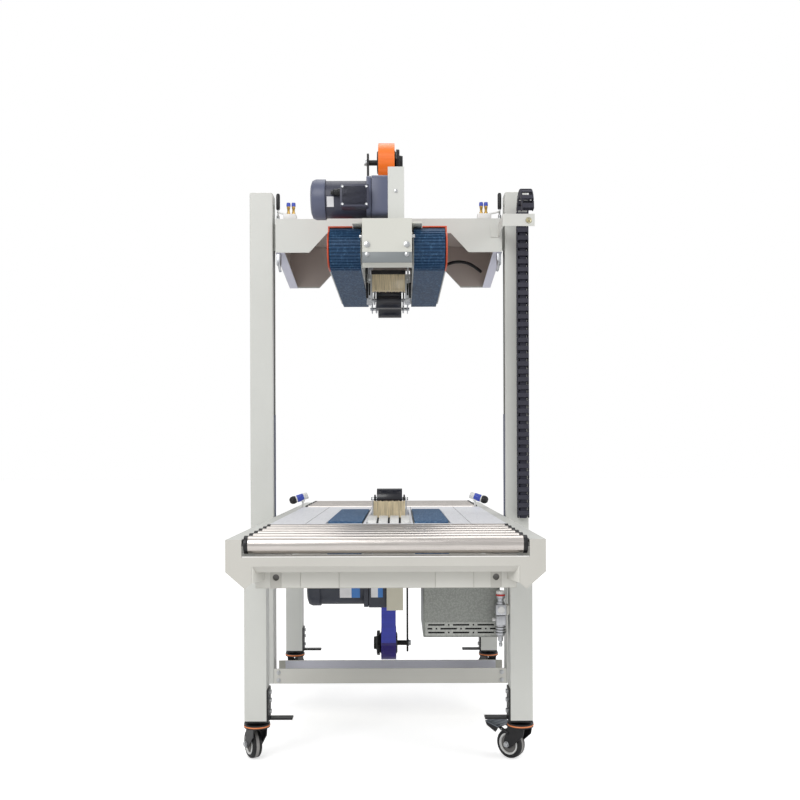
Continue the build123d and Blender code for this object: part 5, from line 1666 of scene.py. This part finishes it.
@dataclass
class Studio:
    """Pale floor, white surroundings, soft lamps and the camera of the photograph."""

    eye: Point = (0.031, -2.757, 0.772)
    lens: float = 41.4
    shift_y: float = 0.0731
    roll: float = 0.19
    floor_half: float = 30.0
    floor_glow: float = 0.5

    def floor(self) -> None:
        """Lay the floor."""
        Shop.clear()
        bpy.ops.mesh.primitive_plane_add(size=2 * self.floor_half)
        floor = bpy.context.object
        floor.name = "studio_floor"
        graph = Graph("studio_floor_white")
        graph.surface.inputs["Base Color"].default_value = (0.93, 0.93, 0.93, 1)
        graph.surface.inputs["Specular IOR Level"].default_value = 0.1
        graph.set(Roughness=0.9)
        glow = graph.nodes.new("ShaderNodeEmission")
        rays = graph.nodes.new("ShaderNodeLightPath")
        strength = graph.nodes.new("ShaderNodeMath")
        strength.operation = "MULTIPLY"
        strength.inputs[1].default_value = self.floor_glow
        graph.join(rays.outputs["Is Camera Ray"], strength.inputs[0])
        graph.join(strength.outputs[0], glow.inputs["Strength"])
        total = graph.nodes.new("ShaderNodeAddShader")
        graph.join(graph.surface.outputs["BSDF"], total.inputs[0])
        graph.join(glow.outputs["Emission"], total.inputs[1])
        output = next(node for node in graph.nodes if node.type == "OUTPUT_MATERIAL")
        graph.join(total.outputs["Shader"], output.inputs["Surface"])
        floor.data.materials.append(graph.material)

    def surroundings(self) -> None:
        """Show white to the camera and in reflections, and light the object softly."""
        world = bpy.data.worlds.new("studio_white")
        bpy.context.scene.world = world
        world.use_nodes = True
        nodes, links = world.node_tree.nodes, world.node_tree.links
        nodes.clear()
        rays = nodes.new("ShaderNodeLightPath")
        seen = nodes.new("ShaderNodeMath")
        seen.operation = "MAXIMUM"
        links.new(rays.outputs["Is Camera Ray"], seen.inputs[0])
        links.new(rays.outputs["Is Transmission Ray"], seen.inputs[1])
        soft = nodes.new("ShaderNodeBackground")
        soft.inputs["Color"].default_value = (1, 1, 1, 1)
        soft.inputs["Strength"].default_value = 0.62
        white = nodes.new("ShaderNodeBackground")
        white.inputs["Strength"].default_value = 1.0
        white.inputs["Color"].default_value = (1, 1, 1, 1)
        mix = nodes.new("ShaderNodeMixShader")
        output = nodes.new("ShaderNodeOutputWorld")
        links.new(seen.outputs[0], mix.inputs["Fac"])
        links.new(soft.outputs[0], mix.inputs[1])
        links.new(white.outputs[0], mix.inputs[2])
        links.new(mix.outputs[0], output.inputs["Surface"])

    def lamps(self) -> None:
        """Hang a large soft lamp over the front and a smaller one at the side."""
        for name, place, size, power in (
            ("front_softbox", (-1.6, -3.4, 3.2), 2.4, 70.0),
            ("side_softbox", (3.2, -1.6, 2.4), 2.0, 32.0),
            ("top_softbox", (0.0, 0.6, 4.2), 2.5, 30.0),
        ):
            lamp = bpy.data.lights.new(name, "AREA")
            lamp.size = size
            lamp.energy = power
            holder = bpy.data.objects.new(name, lamp)
            bpy.context.scene.collection.objects.link(holder)
            holder.location = place
            holder.rotation_mode = "QUATERNION"
            holder.rotation_quaternion = (Vector((0, 0, 0.8)) - Vector(place)).to_track_quat("-Z", "Y")

    def camera(self) -> None:
        """Set the camera level at the photograph's place and framing."""
        data = bpy.data.cameras.new("photo_camera")
        data.lens = self.lens
        data.sensor_width = 36.0
        data.sensor_fit = "HORIZONTAL"
        data.shift_y = self.shift_y
        data.clip_end = 200
        holder = bpy.data.objects.new("photo_camera", data)
        bpy.context.scene.collection.objects.link(holder)
        holder.location = self.eye
        holder.rotation_euler = (radians(90), radians(self.roll), 0)
        bpy.context.scene.camera = holder

    def build(self) -> None:
        """Set up the studio."""
        self.floor()
        self.surroundings()
        self.lamps()
        self.camera()
        bpy.context.scene.view_settings.view_transform = "Standard"


def main() -> None:
    """Build the sealer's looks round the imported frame, in order."""
    logging.basicConfig(level=logging.INFO, format="%(message)s")
    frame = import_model()
    bench = Bench(frame)
    Table(bench).build()
    RollerBed(bench).build()
    # The upper belts' darker blue is painted shade.
    for node in ("upper_left_belt", "upper_right_belt"):
        BeltRun(bench, node, UPPER_BELT_SHADED).build()
    for node in ("lower_left_belt", "lower_right_belt"):
        BeltRun(bench, node, LOWER_RUBBER, 0.0155, 0.0032).build()
    TapeHead(
        bench, "upper_tape_head", -1, -0.125, 1.300, 1.25, 0.046,
        ((-0.04, 1.239, 0.0255), (0.2, 1.252, 0.028)),
        [(-0.11, 1.412), (0.255, 1.412), (0.255, 1.3), (0.22, 1.24), (0.18, 1.24), (0.14, 1.29), (0.02, 1.29),
         (-0.02, 1.225), (-0.06, 1.225), (-0.1, 1.29), (-0.15, 1.3), (-0.15, 1.372)], 0.058,
    ).build()
    TapeHead(
        bench, "lower_tape_head", 1, -0.12, 0.6, 0.651, 0.044,
        ((-0.05, 0.654, 0.03), (0.17, 0.59, 0.03)),
        [(-0.25, 0.495), (0.23, 0.495), (0.23, 0.57), (0.19, 0.612), (0.12, 0.612), (0.08, 0.6),
         (-0.03, 0.6), (-0.04, 0.648), (-0.07, 0.648), (-0.1, 0.6), (-0.25, 0.6)], 0.05,
    ).build()
    GuideFingers(bench).build()
    Columns(bench).build()
    Legs(bench).build()
    Caster(bench, "front_left", 119, False).build()
    Caster(bench, "front_right", 138, True).build()
    Caster(bench, "rear_left", 75, False).build()
    Caster(bench, "rear_right", 110, False).build()
    HeadFrame(bench).build()
    FrontBox(bench).build()
    GearMotor(
        bench, "upper_gearmotor", -0.35, 1.449, -0.198, -0.16, -0.053, 0.002, -1, (-0.118, -0.047), (-0.037, 0.018),
        ((-0.155, -0.137, 1.419, 1.445, False),),
    ).build()
    GearMotor(
        # The lower motor's darker slate is painted shade.
        bench, "lower_gearmotor", -0.30, 0.432, -0.215, -0.18, -0.065, -0.005, 1, (-0.15, -0.07), (-0.024, 0.034),
        ((-0.128, -0.075, 0.407, 0.436, True), (-0.046, -0.015, 0.409, 0.436, True)), SHADED_LOWER_SLATE, SHADED_LOWER_SLATE,
    ).build()
    TapeStation(bench, "upper_tape_roll", "upper_roll_arm", ORANGE_TAPE, 1).build()
    TapeStation(bench, "lower_tape_roll", "lower_roll_arm", BLUE_TAPE, -1, strand=True).build()
    EnergyChain(bench).build()
    ControlBox(bench).build()
    AirUnit(bench).build()
    Drives(bench).build()
    Studio().build()


if __name__ == "__main__":
    main()
